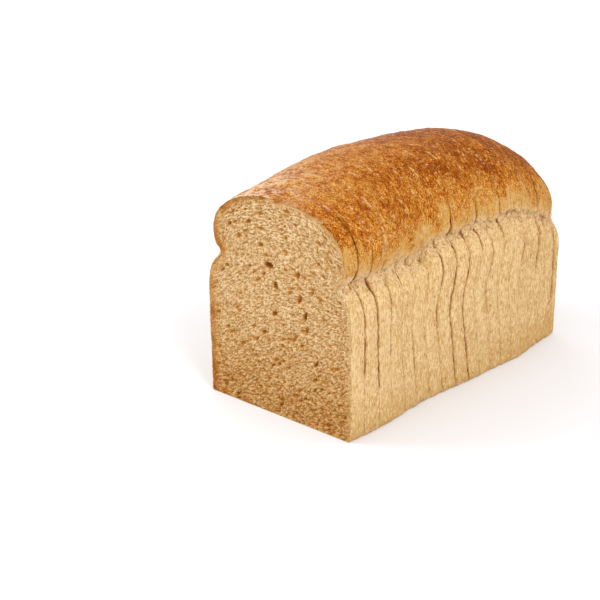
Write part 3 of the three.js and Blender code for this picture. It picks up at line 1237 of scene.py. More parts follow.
    def crumb_tone(self, x: Array, z: Array, rim: Array) -> Array:
        """How brown the crumb is: darker towards the base and at the crust.

        Args:
            x: Sideways places on the face.
            z: Heights on the face.
            rim: 1 at the crust and 0 in the crumb.

        Returns:
            The browning of each point.
        """
        low = 0.18 + 0.14 * smooth_step(z, 80.0, 0.0) + 0.05 * smooth_step(z, 34.0, 6.0)
        low = low + 0.03 * smooth_step(x, 20.0, 45.0)
        mottle = 0.05 * noise(x / 9.0, z / 7.0, 2.0, 41) + 0.07 * noise(x / 2.2, z / 1.5, 5.0, 42)
        leftward = smooth_step(x, 20.0, -30.0)
        upward = smooth_step(z, 84.0, 98.0)
        baked = blend(0.05 + 0.34 * leftward, 0.2 + 0.26 * leftward, upward)
        uneven = np.clip(0.85 + 0.7 * noise(x / 6.0, z / 6.0, 8.0, 44), 0.2, 1.3)
        return low + baked * rim * uneven + mottle

    def cut_edge(self, cut: int, side: float, x: Array, z: Array, rim: Number = 1.0) -> Array:
        """Where one side of a cut is along the loaf; `side` is 1 behind it and -1 in front."""
        return self.form.cut_place(cut, x, z, rim) + side * self.form.half_gap(cut, z)

    def seam_face_shade(self, cut: int, z: Array) -> Array:
        """Painted shade on the cut face where its cut has opened."""
        return self.detail.seam_dark * np.clip(self.form.seam(cut, z), 0.0, 1.0)


@dataclass
class Slice(LoafPiece):
    """One slice, numbered from the loaf's open end."""

    number: int = 1
    pores: CrumbPores = CrumbPores()
    rows: int = 21

    def build(self) -> None:
        """Make the crust band and both cut faces."""
        front, back = self.number - 1, self.number
        share = np.linspace(0.0, 1.0, self.rows)
        stations = (front + share) * self.form.slice_thickness
        x, z = self.form.rings(stations)
        placed = blend(self.front_place(x, z), self.cut_edge(back, -1.0, x, z), share[:, None])
        edge = np.minimum(share, 1.0 - share) * self.form.slice_thickness
        cuts = np.where(share < 0.5, front, back)
        reach = self.form.ease_reach / self.form.slice_thickness
        ease = self.front_ease * np.exp(-share / reach) + self.back_ease * np.exp((share - 1.0) / reach)
        numbers, outline, plain = self.crust_rings(stations, placed, edge, cuts, ease)
        detail = FaceDetail.PORES if self.number == 1 else FaceDetail.PLAIN
        self.close(numbers[0], outline[0], plain[0], self.front_face, detail, False, ease[0])
        self.close(numbers[-1], outline[-1], plain[-1], self.back_face, FaceDetail.PLAIN, True, ease[-1])

    def front_place(self, x: Array, z: Array, rim: Number = 1.0) -> Array:
        """Where the slice starts along the loaf; the first one starts at the open face."""
        if self.number == 1:
            return np.zeros(np.broadcast(x, z).shape)
        return self.cut_edge(self.number - 1, 1.0, x, z, rim)

    def front_face(self, x: Array, z: Array, rim: Array) -> tuple[Array, Array]:
        """The front face, with its pores on the open end.

        Args:
            x: Sideways places on the face.
            z: Heights on the face.
            rim: 1 at the crust and 0 in the crumb.

        Returns:
            The face's place along the loaf, and how deep each point lies in a pore, or on a hidden face the
            painted shade of its open cut.
        """
        place = self.front_place(x, z, rim)
        if self.number > 1:
            return place, self.seam_face_shade(self.number - 1, z)
        depth = self.pores.depth(x, z, rim)
        return place + depth, np.clip((depth - 0.55) / 1.7, 0.0, 1.0)

    def back_face(self, x: Array, z: Array, rim: Array) -> tuple[Array, Array]:
        """The back face's place along the loaf, and the painted shade of its open cut."""
        return self.cut_edge(self.number, -1.0, x, z, rim), self.seam_face_shade(self.number, z)


@dataclass
class Heel(LoafPiece):
    """The loaf's closed end, with the tin's rounded corners and the end of the crown."""

    rows: int = 30
    drawn_in: float = 0.3
    drawn_length: float = 4.0
    flat_from: tuple[float, float] = (2.6, 9.0)

    def build(self) -> None:
        """Make the crust round the heel, its cut face and its closed end."""
        form = self.form
        start = form.slice_count * form.slice_thickness
        turn = np.linspace(0.0, pi / 2, self.rows)
        stations = start + (form.length - start) * np.sin(turn)
        x, z = form.rings(stations)
        drawn_in = self.drawn_in * smooth_step(stations, form.length - self.drawn_length, form.length)
        placed = (stations - drawn_in)[:, None] - form.heel_tear(stations[:, None], z)
        placed[0] = self.cut_edge(form.slice_count, 1.0, x[0], z[0])
        cuts = np.full(len(stations), form.slice_count)
        ease = self.front_ease * np.exp((start - stations) / form.ease_reach)
        numbers, outline, plain = self.crust_rings(stations, placed, stations - start, cuts, ease)
        self.close(numbers[0], outline[0], plain[0], self.cut_face, FaceDetail.PLAIN, False, ease[0])
        self.close(numbers[-1], outline[-1], plain[-1], self.closed_end, FaceDetail.CLOSED, True, ease[-1])

    def cut_face(self, x: Array, z: Array, rim: Array) -> tuple[Array, Array]:
        """The cut face's place along the loaf, and the painted shade of its open cut."""
        cut = self.form.slice_count
        return self.cut_edge(cut, 1.0, x, z, rim), self.seam_face_shade(cut, z)

    def closed_end(self, x: Array, z: Array, rim: Array) -> tuple[Array, Array]:
        """The baked end, pressed in by its own low relief and shredded at the torn line.

        Args:
            x: Sideways places on the end.
            z: Heights on the end.
            rim: 1 at the end's edge and 0 on its flat middle.

        Returns:
            The end's place along the loaf, and the painted shade in its pressed-in shreds.
        """
        flat = (1.0 - rim) * smooth_step(z, *self.flat_from)
        relief = 0.5 * (1.0 + noise(x / 13.0, 0.7, z / 11.0, 51))
        relief = relief + 0.2 * (1.0 + noise(x / 3.0, 0.7, z / 4.0, 52))
        ragged = self.ragged_height(x, z, flat)
        place = self.form.length - self.form.heel_tear(np.array(self.form.length), ragged)
        shreds = noise(x / 3.0, 1.7, z / 2.4, 55) + 0.5 * noise(x / 1.3, 1.7, z / 1.2, 56)
        torn = bell(ragged, self.form.tear_height_back - 2.0, 3.5)
        shred = torn * np.clip(0.3 + shreds, 0.0, 1.0)
        # The shreds are pressed in and darkened with painted shade.
        return place - self.drawn_in - flat * (relief + 1.1 * shred), 0.5 * flat * shred

    def ragged_height(self, x: Array, z: Array, flat: Array) -> Array:
        """The height on the closed end, shifted as far as the torn line wanders from level."""
        wander = 2.4 * noise(x / 9.0, 2.7, LINE_LAYER, 53) + 1.3 * noise(x / 2.8, 2.7, LINE_LAYER, 54)
        return z + flat * wander

    def crumb_tone(self, x: Array, z: Array, rim: Array) -> Array:
        """The baked end's browning: pale below the tear and browner on the crown.

        Args:
            x: Sideways places on the end.
            z: Heights on the end.
            rim: 1 at the end's edge and 0 on its flat middle.

        Returns:
            The browning of each point.
        """
        ragged = self.ragged_height(x, z, 1.0 - rim)
        tear = self.form.tear_height_back
        crown = smooth_step(ragged, tear - 2.0, tear + 20.0)
        return 0.12 + 0.3 * crown + 0.08 * noise(x / 12.0, LINE_LAYER, z / 12.0, 43)


@dataclass(frozen=True)
class Tint:
    """A colour as linear light."""

    red: float
    green: float
    blue: float

    @classmethod
    def screen(cls, red: int, green: int, blue: int) -> "Tint":
        """Make a tint from screen values of 0 to 255."""
        parts = (v / 255.0 for v in (red, green, blue))
        return cls(*(p / 12.92 if p <= 0.04045 else ((p + 0.055) / 1.055) ** 2.4 for p in parts))

    @property
    def rgba(self) -> tuple[float, float, float, float]:
        """The tint with full cover."""
        return (self.red, self.green, self.blue, 1.0)


@dataclass
class NodeSheet:
    """Adds and joins the nodes of one shader tree."""

    tree: bpy.types.NodeTree

    def add(self, kind: str, values: dict[str | int, Source] | None = None, **settings) -> bpy.types.Node:
        """Add a node.

        Args:
            kind: The node's type.
            values: Values or sources for its inputs, by name or number.
            **settings: The node's own settings.

        Returns:
            The new node.
        """
        node = self.tree.nodes.new(kind)
        for name, value in settings.items():
            setattr(node, name, value)
        for key, value in (values or {}).items():
            socket = node.inputs[key]
            if isinstance(value, bpy.types.NodeSocket):
                self.tree.links.new(value, socket)
            else:
                socket.default_value = value
        return node

    def math(self, operation: str, a: Source, b: Source, clamp: bool = False) -> bpy.types.NodeSocket:
        """Join two values with a sum of the named kind, kept within 0 and 1 if it is clamped."""
        node = self.add("ShaderNodeMath", {0: a, 1: b}, operation=operation, use_clamp=clamp)
        return node.outputs[0]

    def plus(self, a: Source, b: Source, clamp: bool = False) -> bpy.types.NodeSocket:
        """a + b."""
        return self.math("ADD", a, b, clamp)

    def minus(self, a: Source, b: Source, clamp: bool = False) -> bpy.types.NodeSocket:
        """a - b."""
        return self.math("SUBTRACT", a, b, clamp)

    def times(self, a: Source, b: Source, clamp: bool = False) -> bpy.types.NodeSocket:
        """a · b."""
        return self.math("MULTIPLY", a, b, clamp)

    def mix(self, share: Source, a: Source, b: Source) -> bpy.types.NodeSocket:
        """Mix two colours."""
        node = self.add("ShaderNodeMix", {0: share, 6: a, 7: b}, data_type="RGBA")
        return node.outputs[2]

    def value(self, name: str) -> bpy.types.NodeSocket:
        """Read a value that the mesh holds at its points."""
        return self.add("ShaderNodeAttribute", attribute_name=name).outputs["Fac"]

    def ramp(self, share: Source, stops: tuple[tuple[float, Tint], ...]) -> bpy.types.NodeSocket:
        """Turn a value into a colour along a row of stops.

        Args:
            share: The value.
            stops: Each stop's place and colour.

        Returns:
            The colour.
        """
        node = self.add("ShaderNodeValToRGB", {0: share})
        elements = node.color_ramp.elements
        while len(elements) < len(stops):
            elements.new(0.5)
        for element, (place, tint) in zip(elements, stops):
            element.position = place
            element.color = tint.rgba
        return node.outputs["Color"]


def new_material(name: str) -> tuple[bpy.types.Material, NodeSheet, bpy.types.Node]:
    """Start a material.

    Args:
        name: The material's name.

    Returns:
        The material, a sheet for its nodes, and its shader.
    """
    material = bpy.data.materials.new(name)
    material.use_nodes = True
    sheet = NodeSheet(material.node_tree)
    return material, sheet, sheet.tree.nodes["Principled BSDF"]


@dataclass(frozen=True)
class Grain:
    """One use of the grain group: noise stretched along the loaf's axes."""

    stretch: tuple[float, float, float]
    scale: float
    detail: float
    distortion: float = 0.0

    @property
    def inputs(self) -> dict[str, Source]:
        """The group's inputs by name."""
        shape = {"Stretch": self.stretch, "Scale": self.scale}
        return shape | {"Detail": self.detail, "Distortion": self.distortion}


@dataclass(frozen=True)
class Flecks:
    """One use of the flecks group: spots in a share of random cells."""

    stretch: tuple[float, float, float]
    scale: float
    share: float
    size: float

    @property
    def inputs(self) -> dict[str, Source]:
        """The group's inputs by name."""
        return {"Stretch": self.stretch, "Scale": self.scale, "Share": self.share, "Size": self.size}


@dataclass(frozen=True)
class Effects:
    """The shader groups that the bread's finishes share."""

    grain: bpy.types.NodeTree
    flecks: bpy.types.NodeTree

    @classmethod
    def make(cls) -> "Effects":
        """Build both groups once."""
        return cls(cls.grain_group(), cls.fleck_group())

    @staticmethod
    def start(
        name: str, pattern: Grain | Flecks, output: str
    ) -> tuple[NodeSheet, Callable[[str], Source], bpy.types.NodeSocket]:
        """Start a group that works on stretched coordinates.

        Args:
            name: The group's name.
            pattern: Starting values for its inputs.
            output: The output's name.

        Returns:
            The group's sheet, a lookup of its inputs by name, and the stretched coordinates.
        """
        tree = bpy.data.node_groups.new(name, "ShaderNodeTree")
        for label, value in ({"Vector": (0.0, 0.0, 0.0)} | pattern.inputs).items():
            kind = "NodeSocketVector" if isinstance(value, tuple) else "NodeSocketFloat"
            socket = tree.interface.new_socket(label, in_out="INPUT", socket_type=kind)
            socket.default_value = value
        tree.interface.new_socket(output, in_out="OUTPUT", socket_type="NodeSocketFloat")
        entry = tree.nodes.new("NodeGroupInput").outputs
        tree.nodes.new("NodeGroupOutput")
        sheet = NodeSheet(tree)
        axes = {0: entry["Vector"], 1: entry["Stretch"]}
        scaled = sheet.add("ShaderNodeVectorMath", axes, operation="MULTIPLY").outputs[0]
        return sheet, entry.get, scaled

    @classmethod
    def grain_group(cls) -> bpy.types.NodeTree:
        """Noise stretched along the loaf's axes, as a value from -1 to 1.

        Returns:
            The group.
        """
        sheet, entry, scaled = cls.start("grain", Grain((1.0, 1.0, 1.0), 500.0, 2.0), "Value")
        values = {name: entry(name) for name in ("Scale", "Detail", "Distortion")}
        pattern = sheet.add("ShaderNodeTexNoise", {"Vector": scaled, "Roughness": 0.6} | values)
        value = sheet.times(sheet.minus(pattern.outputs["Fac"], 0.5), 3.0)
        sheet.tree.links.new(value, sheet.tree.nodes["Group Output"].inputs["Value"])
        return sheet.tree

    @classmethod
    def fleck_group(cls) -> bpy.types.NodeTree:
        """Small flecks in a share of random cells, as a mask from 0 to 1.

        Returns:
            The group.
        """
        sheet, entry, scaled = cls.start("flecks", Flecks((1.0, 1.0, 1.0), 500.0, 0.3, 0.35), "Mask")
        cells = {"Vector": scaled, "Scale": entry("Scale"), "Randomness": 1.0}
        cells = sheet.add("ShaderNodeTexVoronoi", cells)
        parts = sheet.add("ShaderNodeSeparateColor", {0: cells.outputs["Color"]})
        chosen = sheet.math("LESS_THAN", parts.outputs[0], entry("Share"))
        near = sheet.math("DIVIDE", cells.outputs["Distance"], entry("Size"))
        firm = sheet.times(sheet.minus(1.0, near, clamp=True), 2.2, clamp=True)
        mask = sheet.times(firm, chosen)
        sheet.tree.links.new(mask, sheet.tree.nodes["Group Output"].inputs["Mask"])
        return sheet.tree

    def add(self, sheet: NodeSheet, place: Source, pattern: Grain | Flecks) -> bpy.types.NodeSocket:
        """Add a group with its own values and give its output."""
        tree = self.grain if isinstance(pattern, Grain) else self.flecks
        return sheet.add("ShaderNodeGroup", {"Vector": place} | pattern.inputs, node_tree=tree).outputs[0]


@dataclass(frozen=True)
class BreadSources:
    """What the bread's colours are mixed from: places, the mesh's values and shared patterns."""

    place: bpy.types.NodeSocket
    x: bpy.types.NodeSocket
    y: bpy.types.NodeSocket
    bake: bpy.types.NodeSocket
    cut: bpy.types.NodeSocket
    pale: bpy.types.NodeSocket
    pore: bpy.types.NodeSocket
    level: bpy.types.NodeSocket
    crown: bpy.types.NodeSocket
    side: bpy.types.NodeSocket
    across: bpy.types.NodeSocket
    fine: bpy.types.NodeSocket
    dark: bpy.types.NodeSocket


@dataclass(frozen=True)
class BreadFinish:
    """Baked wholemeal dough: pale sides, brown crown, torn crumb and cut crumb."""

    name: str
    effects: Effects
    crust: tuple[tuple[float, Tint], ...] = (
        (0.0, Tint.screen(217, 186, 137)),
        (0.12, Tint.screen(191, 157, 106)),
        (0.36, Tint.screen(189, 142, 72)),
        (0.6, Tint.screen(175, 103, 19)),
        (0.82, Tint.screen(145, 67, 3)),
        (1.0, Tint.screen(112, 48, 2)),
    )
    crumb: tuple[tuple[float, Tint], ...] = (
        (0.0, Tint.screen(231, 205, 163)),
        (0.3, Tint.screen(200, 159, 104)),
        (0.6, Tint.screen(167, 109, 43)),
        (1.0, Tint.screen(108, 56, 14)),
    )
    torn: Tint = Tint.screen(222, 194, 150)
    torn_shade: Tint = Tint.screen(138, 92, 42)
    # The next two tints are floured crust and its painted highlight.
    floury_sheen: Tint = Tint.screen(238, 200, 136)
    flour_sheen: Tint = Tint.screen(240, 220, 194)
    seam_shade: Tint = Tint.screen(150, 92, 30)
    dark_bran: Tint = Tint.screen(118, 58, 8)
    pale_bran: Tint = Tint.screen(228, 164, 72)
    across: Grain = Grain((0.6, 1.2, 0.6), 900.0, 2.0, 0.6)
    upright: Grain = Grain((0.8, 1.0, 0.2), 1250.0, 2.0)
    mottle: Grain = Grain((1.0, 1.0, 1.0), 300.0, 3.0)
    fine: Grain = Grain((1.0, 1.0, 1.0), 1300.0, 2.0)
    streaks: Grain = Grain((0.5, 1.2, 0.5), 560.0, 4.0, 0.9)
    patches: Grain = Grain((1.0, 1.0, 1.0), 120.0, 2.0)
    strands: Grain = Grain((0.4, 1.0, 1.5), 900.0, 3.0)
    dark_flecks: Flecks = Flecks((1.1, 1.1, 0.42), 820.0, 0.34, 0.4)
    pale_flecks: Flecks = Flecks((0.55, 1.3, 0.55), 760.0, 0.32, 0.34)
    pits: Flecks = Flecks((0.9, 1.1, 0.9), 950.0, 0.34, 0.42)
    crown_weights: tuple[float, float, float] = (0.32, 0.62, 0.24)
    side_weights: tuple[float, float, float] = (0.27, 0.08, 0.13)
    crumb_weights: tuple[float, float] = (0.3, 0.32)
    crown_from: float = 0.22
    flour_sheen_end: float = -0.05
    flour_sheen_fade: float = 20.0
    pore_shade: float = 0.72
    crown_gloss: float = 0.5
    bump: float = 0.6
    bump_height: float = 0.0003
    refraction: float = 1.45
    shine: float = 0.04

    def build(self) -> bpy.types.Material:
        """Make the material.

        Returns:
            A material that reads the piece's bake, cut, pale, pore and level values.
        """
        material, sheet, shader = new_material(self.name)
        read = self.sources(sheet)
        crust = self.marked_crust(sheet, read, self.plain_crust(sheet, read))
        colour = sheet.mix(read.cut, crust, self.cut_crumb(sheet, read))
        sheet.tree.links.new(colour, shader.inputs["Base Color"])
        dull = sheet.math("MAXIMUM", read.cut, sheet.times(read.pore, 3.0, clamp=True))
        gloss = sheet.times(read.crown, sheet.minus(1.0, dull))
        rough = sheet.minus(1.0, sheet.times(gloss, self.crown_gloss))
        sheet.tree.links.new(rough, shader.inputs["Roughness"])
        height = sheet.plus(read.fine, sheet.times(read.across, 0.6))
        relief = {"Strength": self.bump, "Distance": self.bump_height, "Height": height}
        bump = sheet.add("ShaderNodeBump", relief)
        sheet.tree.links.new(bump.outputs["Normal"], shader.inputs["Normal"])
        shader.inputs["IOR"].default_value = self.refraction
        shader.inputs["Specular IOR Level"].default_value = self.shine
        return material

    def sources(self, sheet: NodeSheet) -> BreadSources:
        """Read the places and the mesh's values, and make the shared patterns.

        Args:
            sheet: The material's nodes.

        Returns:
            The sources.
        """
        place = sheet.add("ShaderNodeTexCoord").outputs["Object"]
        parts = sheet.add("ShaderNodeSeparateXYZ", {0: place}).outputs
        values = {name: sheet.value(name) for name in POINT_VALUES}
        crown = sheet.times(sheet.minus(values["bake"], self.crown_from, clamp=True), 4.0, clamp=True)
        return BreadSources(
            place=place,
            x=parts[0],
            y=parts[1],
            **values,
            crown=crown,
            side=sheet.minus(1.0, crown),
            across=self.effects.add(sheet, place, self.across),
            fine=self.effects.add(sheet, place, self.fine),
            dark=self.effects.add(sheet, place, self.dark_flecks),
        )

    def weighted(self, sheet: NodeSheet, sources: tuple, weights: tuple[float, ...]) -> bpy.types.NodeSocket:
        """Add up sources, each times its weight.

        Args:
            sheet: The material's nodes.
            sources: The values to add up.
            weights: Each value's weight.

        Returns:
            The sum.
        """
        total = sheet.times(sources[0], weights[0])
        for source, weight in zip(sources[1:], weights[1:]):
            total = sheet.plus(total, sheet.times(source, weight))
        return total

    def plain_crust(self, sheet: NodeSheet, read: BreadSources) -> bpy.types.NodeSocket:
        """Colour the crust by its browning, then the torn crumb, the floured patches with their painted
        highlight, and the painted shade of open seams and cracks.

        Args:
            sheet: The material's nodes.
            read: What the colours are mixed from.

        Returns:
            The colour.
        """
        mottle = self.effects.add(sheet, read.place, self.mottle)
        upright = self.effects.add(sheet, read.place, self.upright)
        crown = self.weighted(sheet, (read.across, read.fine, mottle), self.crown_weights)
        side = self.weighted(sheet, (upright, mottle, read.fine), self.side_weights)
        shift = sheet.plus(sheet.times(crown, read.crown), sheet.times(side, read.side))
        crust = sheet.ramp(sheet.plus(read.bake, shift, clamp=True), self.crust)
        torn_share = sheet.plus(sheet.times(read.fine, 0.5), 0.7)
        # The floured crown whitens towards the open face: partly floured crust, partly painted highlight.
        front = sheet.times(sheet.minus(self.flour_sheen_end, read.y), self.flour_sheen_fade, clamp=True)
        crown_tint = sheet.mix(front, self.floury_sheen.rgba, self.flour_sheen.rgba)
        torn_tint = sheet.mix(read.crown, self.torn.rgba, crown_tint)
        torn = sheet.mix(sheet.times(read.pale, torn_share, clamp=True), crust, torn_tint)
        # Mix in the painted shade of open seams and cracks.
        return sheet.mix(sheet.times(read.pore, 0.9), torn, self.seam_shade.rgba)

    def marked_crust(self, sheet: NodeSheet, read: BreadSources, crust: Source) -> bpy.types.NodeSocket:
        """Mark the crust with crumbs, flecks of bran, pits, and pale and dark streaks.

        Args:
            sheet: The material's nodes.
            read: What the colours are mixed from.
            crust: The crust's plain colour.

        Returns:
            The colour.
        """
        pale_spots = self.effects.add(sheet, read.place, self.pale_flecks)
        pits = self.effects.add(sheet, read.place, self.pits)
        streaks = self.effects.add(sheet, read.place, self.streaks)
        patch = sheet.plus(self.effects.add(sheet, read.place, self.patches), 0.6, clamp=True)
        raised = sheet.minus(streaks, 0.2, clamp=True)
        sunken = sheet.minus(sheet.times(streaks, -1.0), 0.2, clamp=True)
        crumbs = sheet.times(sheet.minus(read.fine, 0.04, clamp=True), 2.4)
        crumbs = sheet.times(sheet.times(crumbs, read.pale), read.side, clamp=True)
        marked = sheet.mix(crumbs, crust, self.torn_shade.rgba)
        marked = sheet.mix(sheet.times(read.dark, 0.6), marked, self.torn_shade.rgba)
        dark_streaks = sheet.times(sunken, 1.8, clamp=True)
        dark_streaks = sheet.times(dark_streaks, sheet.minus(1.15, patch), clamp=True)
        marked = sheet.mix(sheet.times(dark_streaks, read.crown), marked, self.dark_bran.rgba)
        pit_share = sheet.times(sheet.times(pits, read.crown), 0.75)
        marked = sheet.mix(pit_share, marked, self.dark_bran.rgba)
        pale_streaks = sheet.times(raised, 2.2, clamp=True)
        pale_marks = sheet.plus(sheet.times(pale_spots, 0.9), pale_streaks, clamp=True)
        pale_marks = sheet.times(pale_marks, sheet.plus(patch, 0.15, clamp=True))
        return sheet.mix(sheet.times(pale_marks, read.crown), marked, self.pale_bran.rgba)

    def cut_crumb(self, sheet: NodeSheet, read: BreadSources) -> bpy.types.NodeSocket:
        """Colour the cut crumb, with strands that lie along its grain and shade in its pores.

        Args:
            sheet: The material's nodes.
            read: What the colours are mixed from.

        Returns:
            The colour.
        """
        layer = sheet.times(read.level, MM)
        lie = sheet.add("ShaderNodeCombineXYZ", {0: read.x, 1: 0.0, 2: layer}).outputs[0]
        strands = self.effects.add(sheet, lie, self.strands)
        shift = self.weighted(sheet, (read.fine, strands), self.crumb_weights)
        deep = sheet.times(read.pore, self.pore_shade)
        tone = sheet.plus(sheet.plus(read.bake, shift), deep, clamp=True)
        return sheet.mix(sheet.times(read.dark, 0.3), sheet.ramp(tone, self.crumb), self.dark_bran.rgba)


@dataclass(frozen=True)
class BranFinish:
    """Dry flakes of bran, paler or darker by the value that each flake holds."""

    name: str = "bran"
    dark: Tint = Tint.screen(140, 86, 36)
    pale: Tint = Tint.screen(214, 170, 112)
    roughness: float = 0.85
    shine: float = 0.06

    def build(self) -> bpy.types.Material:
        """Make the material.

        Returns:
            A material that reads the flakes' pale value.
        """
        material, sheet, shader = new_material(self.name)
        colour = sheet.mix(sheet.value("pale"), self.dark.rgba, self.pale.rgba)
        sheet.tree.links.new(colour, shader.inputs["Base Color"])
        shader.inputs["Roughness"].default_value = self.roughness
        shader.inputs["Specular IOR Level"].default_value = self.shine
        return material


@dataclass
class BranFlakes:
    """Flakes of bran that lie on the crust, each a thin closed scale."""

    crown_count: int = 1700
    side_count: int = 900
    seed: int = 5
    rim_points: int = 7
    crown_from: float = 0.3
    patches: Ripple = Ripple(14.0, 11.0, 14.0, 71)
    shortest: float = 0.25
    longest: float = 1.4
    clear_of_base: float = 4.0
    ceiling: float = 142.6
    surface: Surface = field(default_factory=Surface)

    def build(self, pieces: list[LoafPiece]) -> None:
        """Scatter the flakes over the crust, thickest in patches of the crown.

        A flake is a ring of points round its middle, with one point above and one below.

        Args:
            pieces: The finished slices and heel.
        """
        draw = np.random.default_rng(self.seed)
        spots, normals, bakes = self.crust_spots(pieces)
        crowned = np.where(bakes > self.crown_from, 1.0, 0.0)
        patches = np.clip(0.25 + 1.2 * self.patches.at(*spots.T), 0.05, 1.0)
        crown = self.choose(draw, self.crown_count, crowned * patches)
        side = self.choose(draw, self.side_count, 1 - crowned)
        chosen = np.concatenate([crown, side])
        count = len(chosen)
        on_crown = np.arange(count) < self.crown_count
        middle, up = spots[chosen], normals[chosen]
        lead = np.where(on_crown[:, None], (1.0, 0.0, 0.0), (0.0, 0.0, 1.0))
        lead = lead + 0.6 * draw.normal(size=(count, 3))
        along = lead - up * (lead * up).sum(axis=1, keepdims=True)
        along /= np.linalg.norm(along, axis=1, keepdims=True)
        length = np.minimum(self.shortest + 0.25 * draw.gamma(2.0, 0.6, count), self.longest)
        width = length * draw.uniform(0.15, 0.45, count)
        thick = 0.05 + 0.1 * length
        ragged = draw.uniform(0.7, 1.15, (count, self.rim_points))
        turn = np.linspace(0.0, 2.0 * pi, self.rim_points, endpoint=False)
        points = middle[:, None, :] + (length[:, None] * ragged * np.cos(turn))[..., None] * along[:, None, :]
        points += (width[:, None] * ragged * np.sin(turn))[..., None] * np.cross(up, along)[:, None, :]
        points += (0.3 * thick)[:, None, None] * up[:, None, :]
        top = middle + up * thick[:, None]
        bottom = middle - up * (2.0 * thick)[:, None]
        points = np.concatenate([points, top[:, None, :], bottom[:, None, :]], axis=1)
        points[..., 2] = np.minimum(points[..., 2], self.ceiling)
        shade = np.where(on_crown, draw.beta(2.2, 1.4, count), draw.beta(1.2, 2.0, count))
        numbers = self.surface.add(points, pale=shade[:, None])
        rim, ahead = numbers[:, :-2], np.roll(numbers[:, :-2], -1, axis=1)
        self.surface.add_triangles(rim, ahead, np.broadcast_to(numbers[:, -2:-1], rim.shape))
        self.surface.add_triangles(ahead, rim, np.broadcast_to(numbers[:, -1:], rim.shape))

    def choose(self, draw: np.random.Generator, count: int, weight: Array) -> Array:
        """Draw `count` different spots, each as likely as its weight says."""
        return draw.choice(len(weight), count, replace=False, p=weight / weight.sum())

    def crust_spots(self, pieces: list[LoafPiece]) -> tuple[Array, Array, Array]:
        """Gather the crust's points with their outward normals and browning.

        Args:
            pieces: The finished slices and heel.

        Returns:
            Points, normals and browning, away from the cuts and off the base.
        """
        spots, normals, bakes = [], [], []
        for piece in pieces:
            rows = piece.rows
            grid = piece.surface.points[0].reshape(rows, -1, 3)
            bake = piece.surface.values["bake"][0].reshape(rows, -1)
            round_step = np.roll(grid, -1, axis=1) - np.roll(grid, 1, axis=1)
            normal = np.cross(np.gradient(grid, axis=0), round_step)
            normal /= np.maximum(np.linalg.norm(normal, axis=2, keepdims=True), 1e-9)
            inner = slice(2, rows - 3)
            keep = grid[inner][..., 2] > self.clear_of_base
            spots.append(grid[inner][keep])
            normals.append(normal[inner][keep])
            bakes.append(bake[inner][keep])
        return np.concatenate(spots), np.concatenate(normals), np.concatenate(bakes)


@dataclass(frozen=True)
class Lamp:
    """A soft square light that looks at the loaf."""

    name: str
    place: tuple[float, float, float]
    size: float
    power: float
    aim: tuple[float, float, float] = (0.0, 0.0, 0.07)

    def build(self) -> None:
        """Add the light to the scene."""
        data = bpy.data.lights.new(self.name, "AREA")
        data.size = self.size
        data.energy = self.power
        lamp = bpy.data.objects.new(self.name, data)
        lamp.location = self.place
        aim = Vector(self.aim) - Vector(self.place)
        lamp.rotation_euler = aim.to_track_quat("-Z", "Y").to_euler()
        bpy.context.scene.collection.objects.link(lamp)


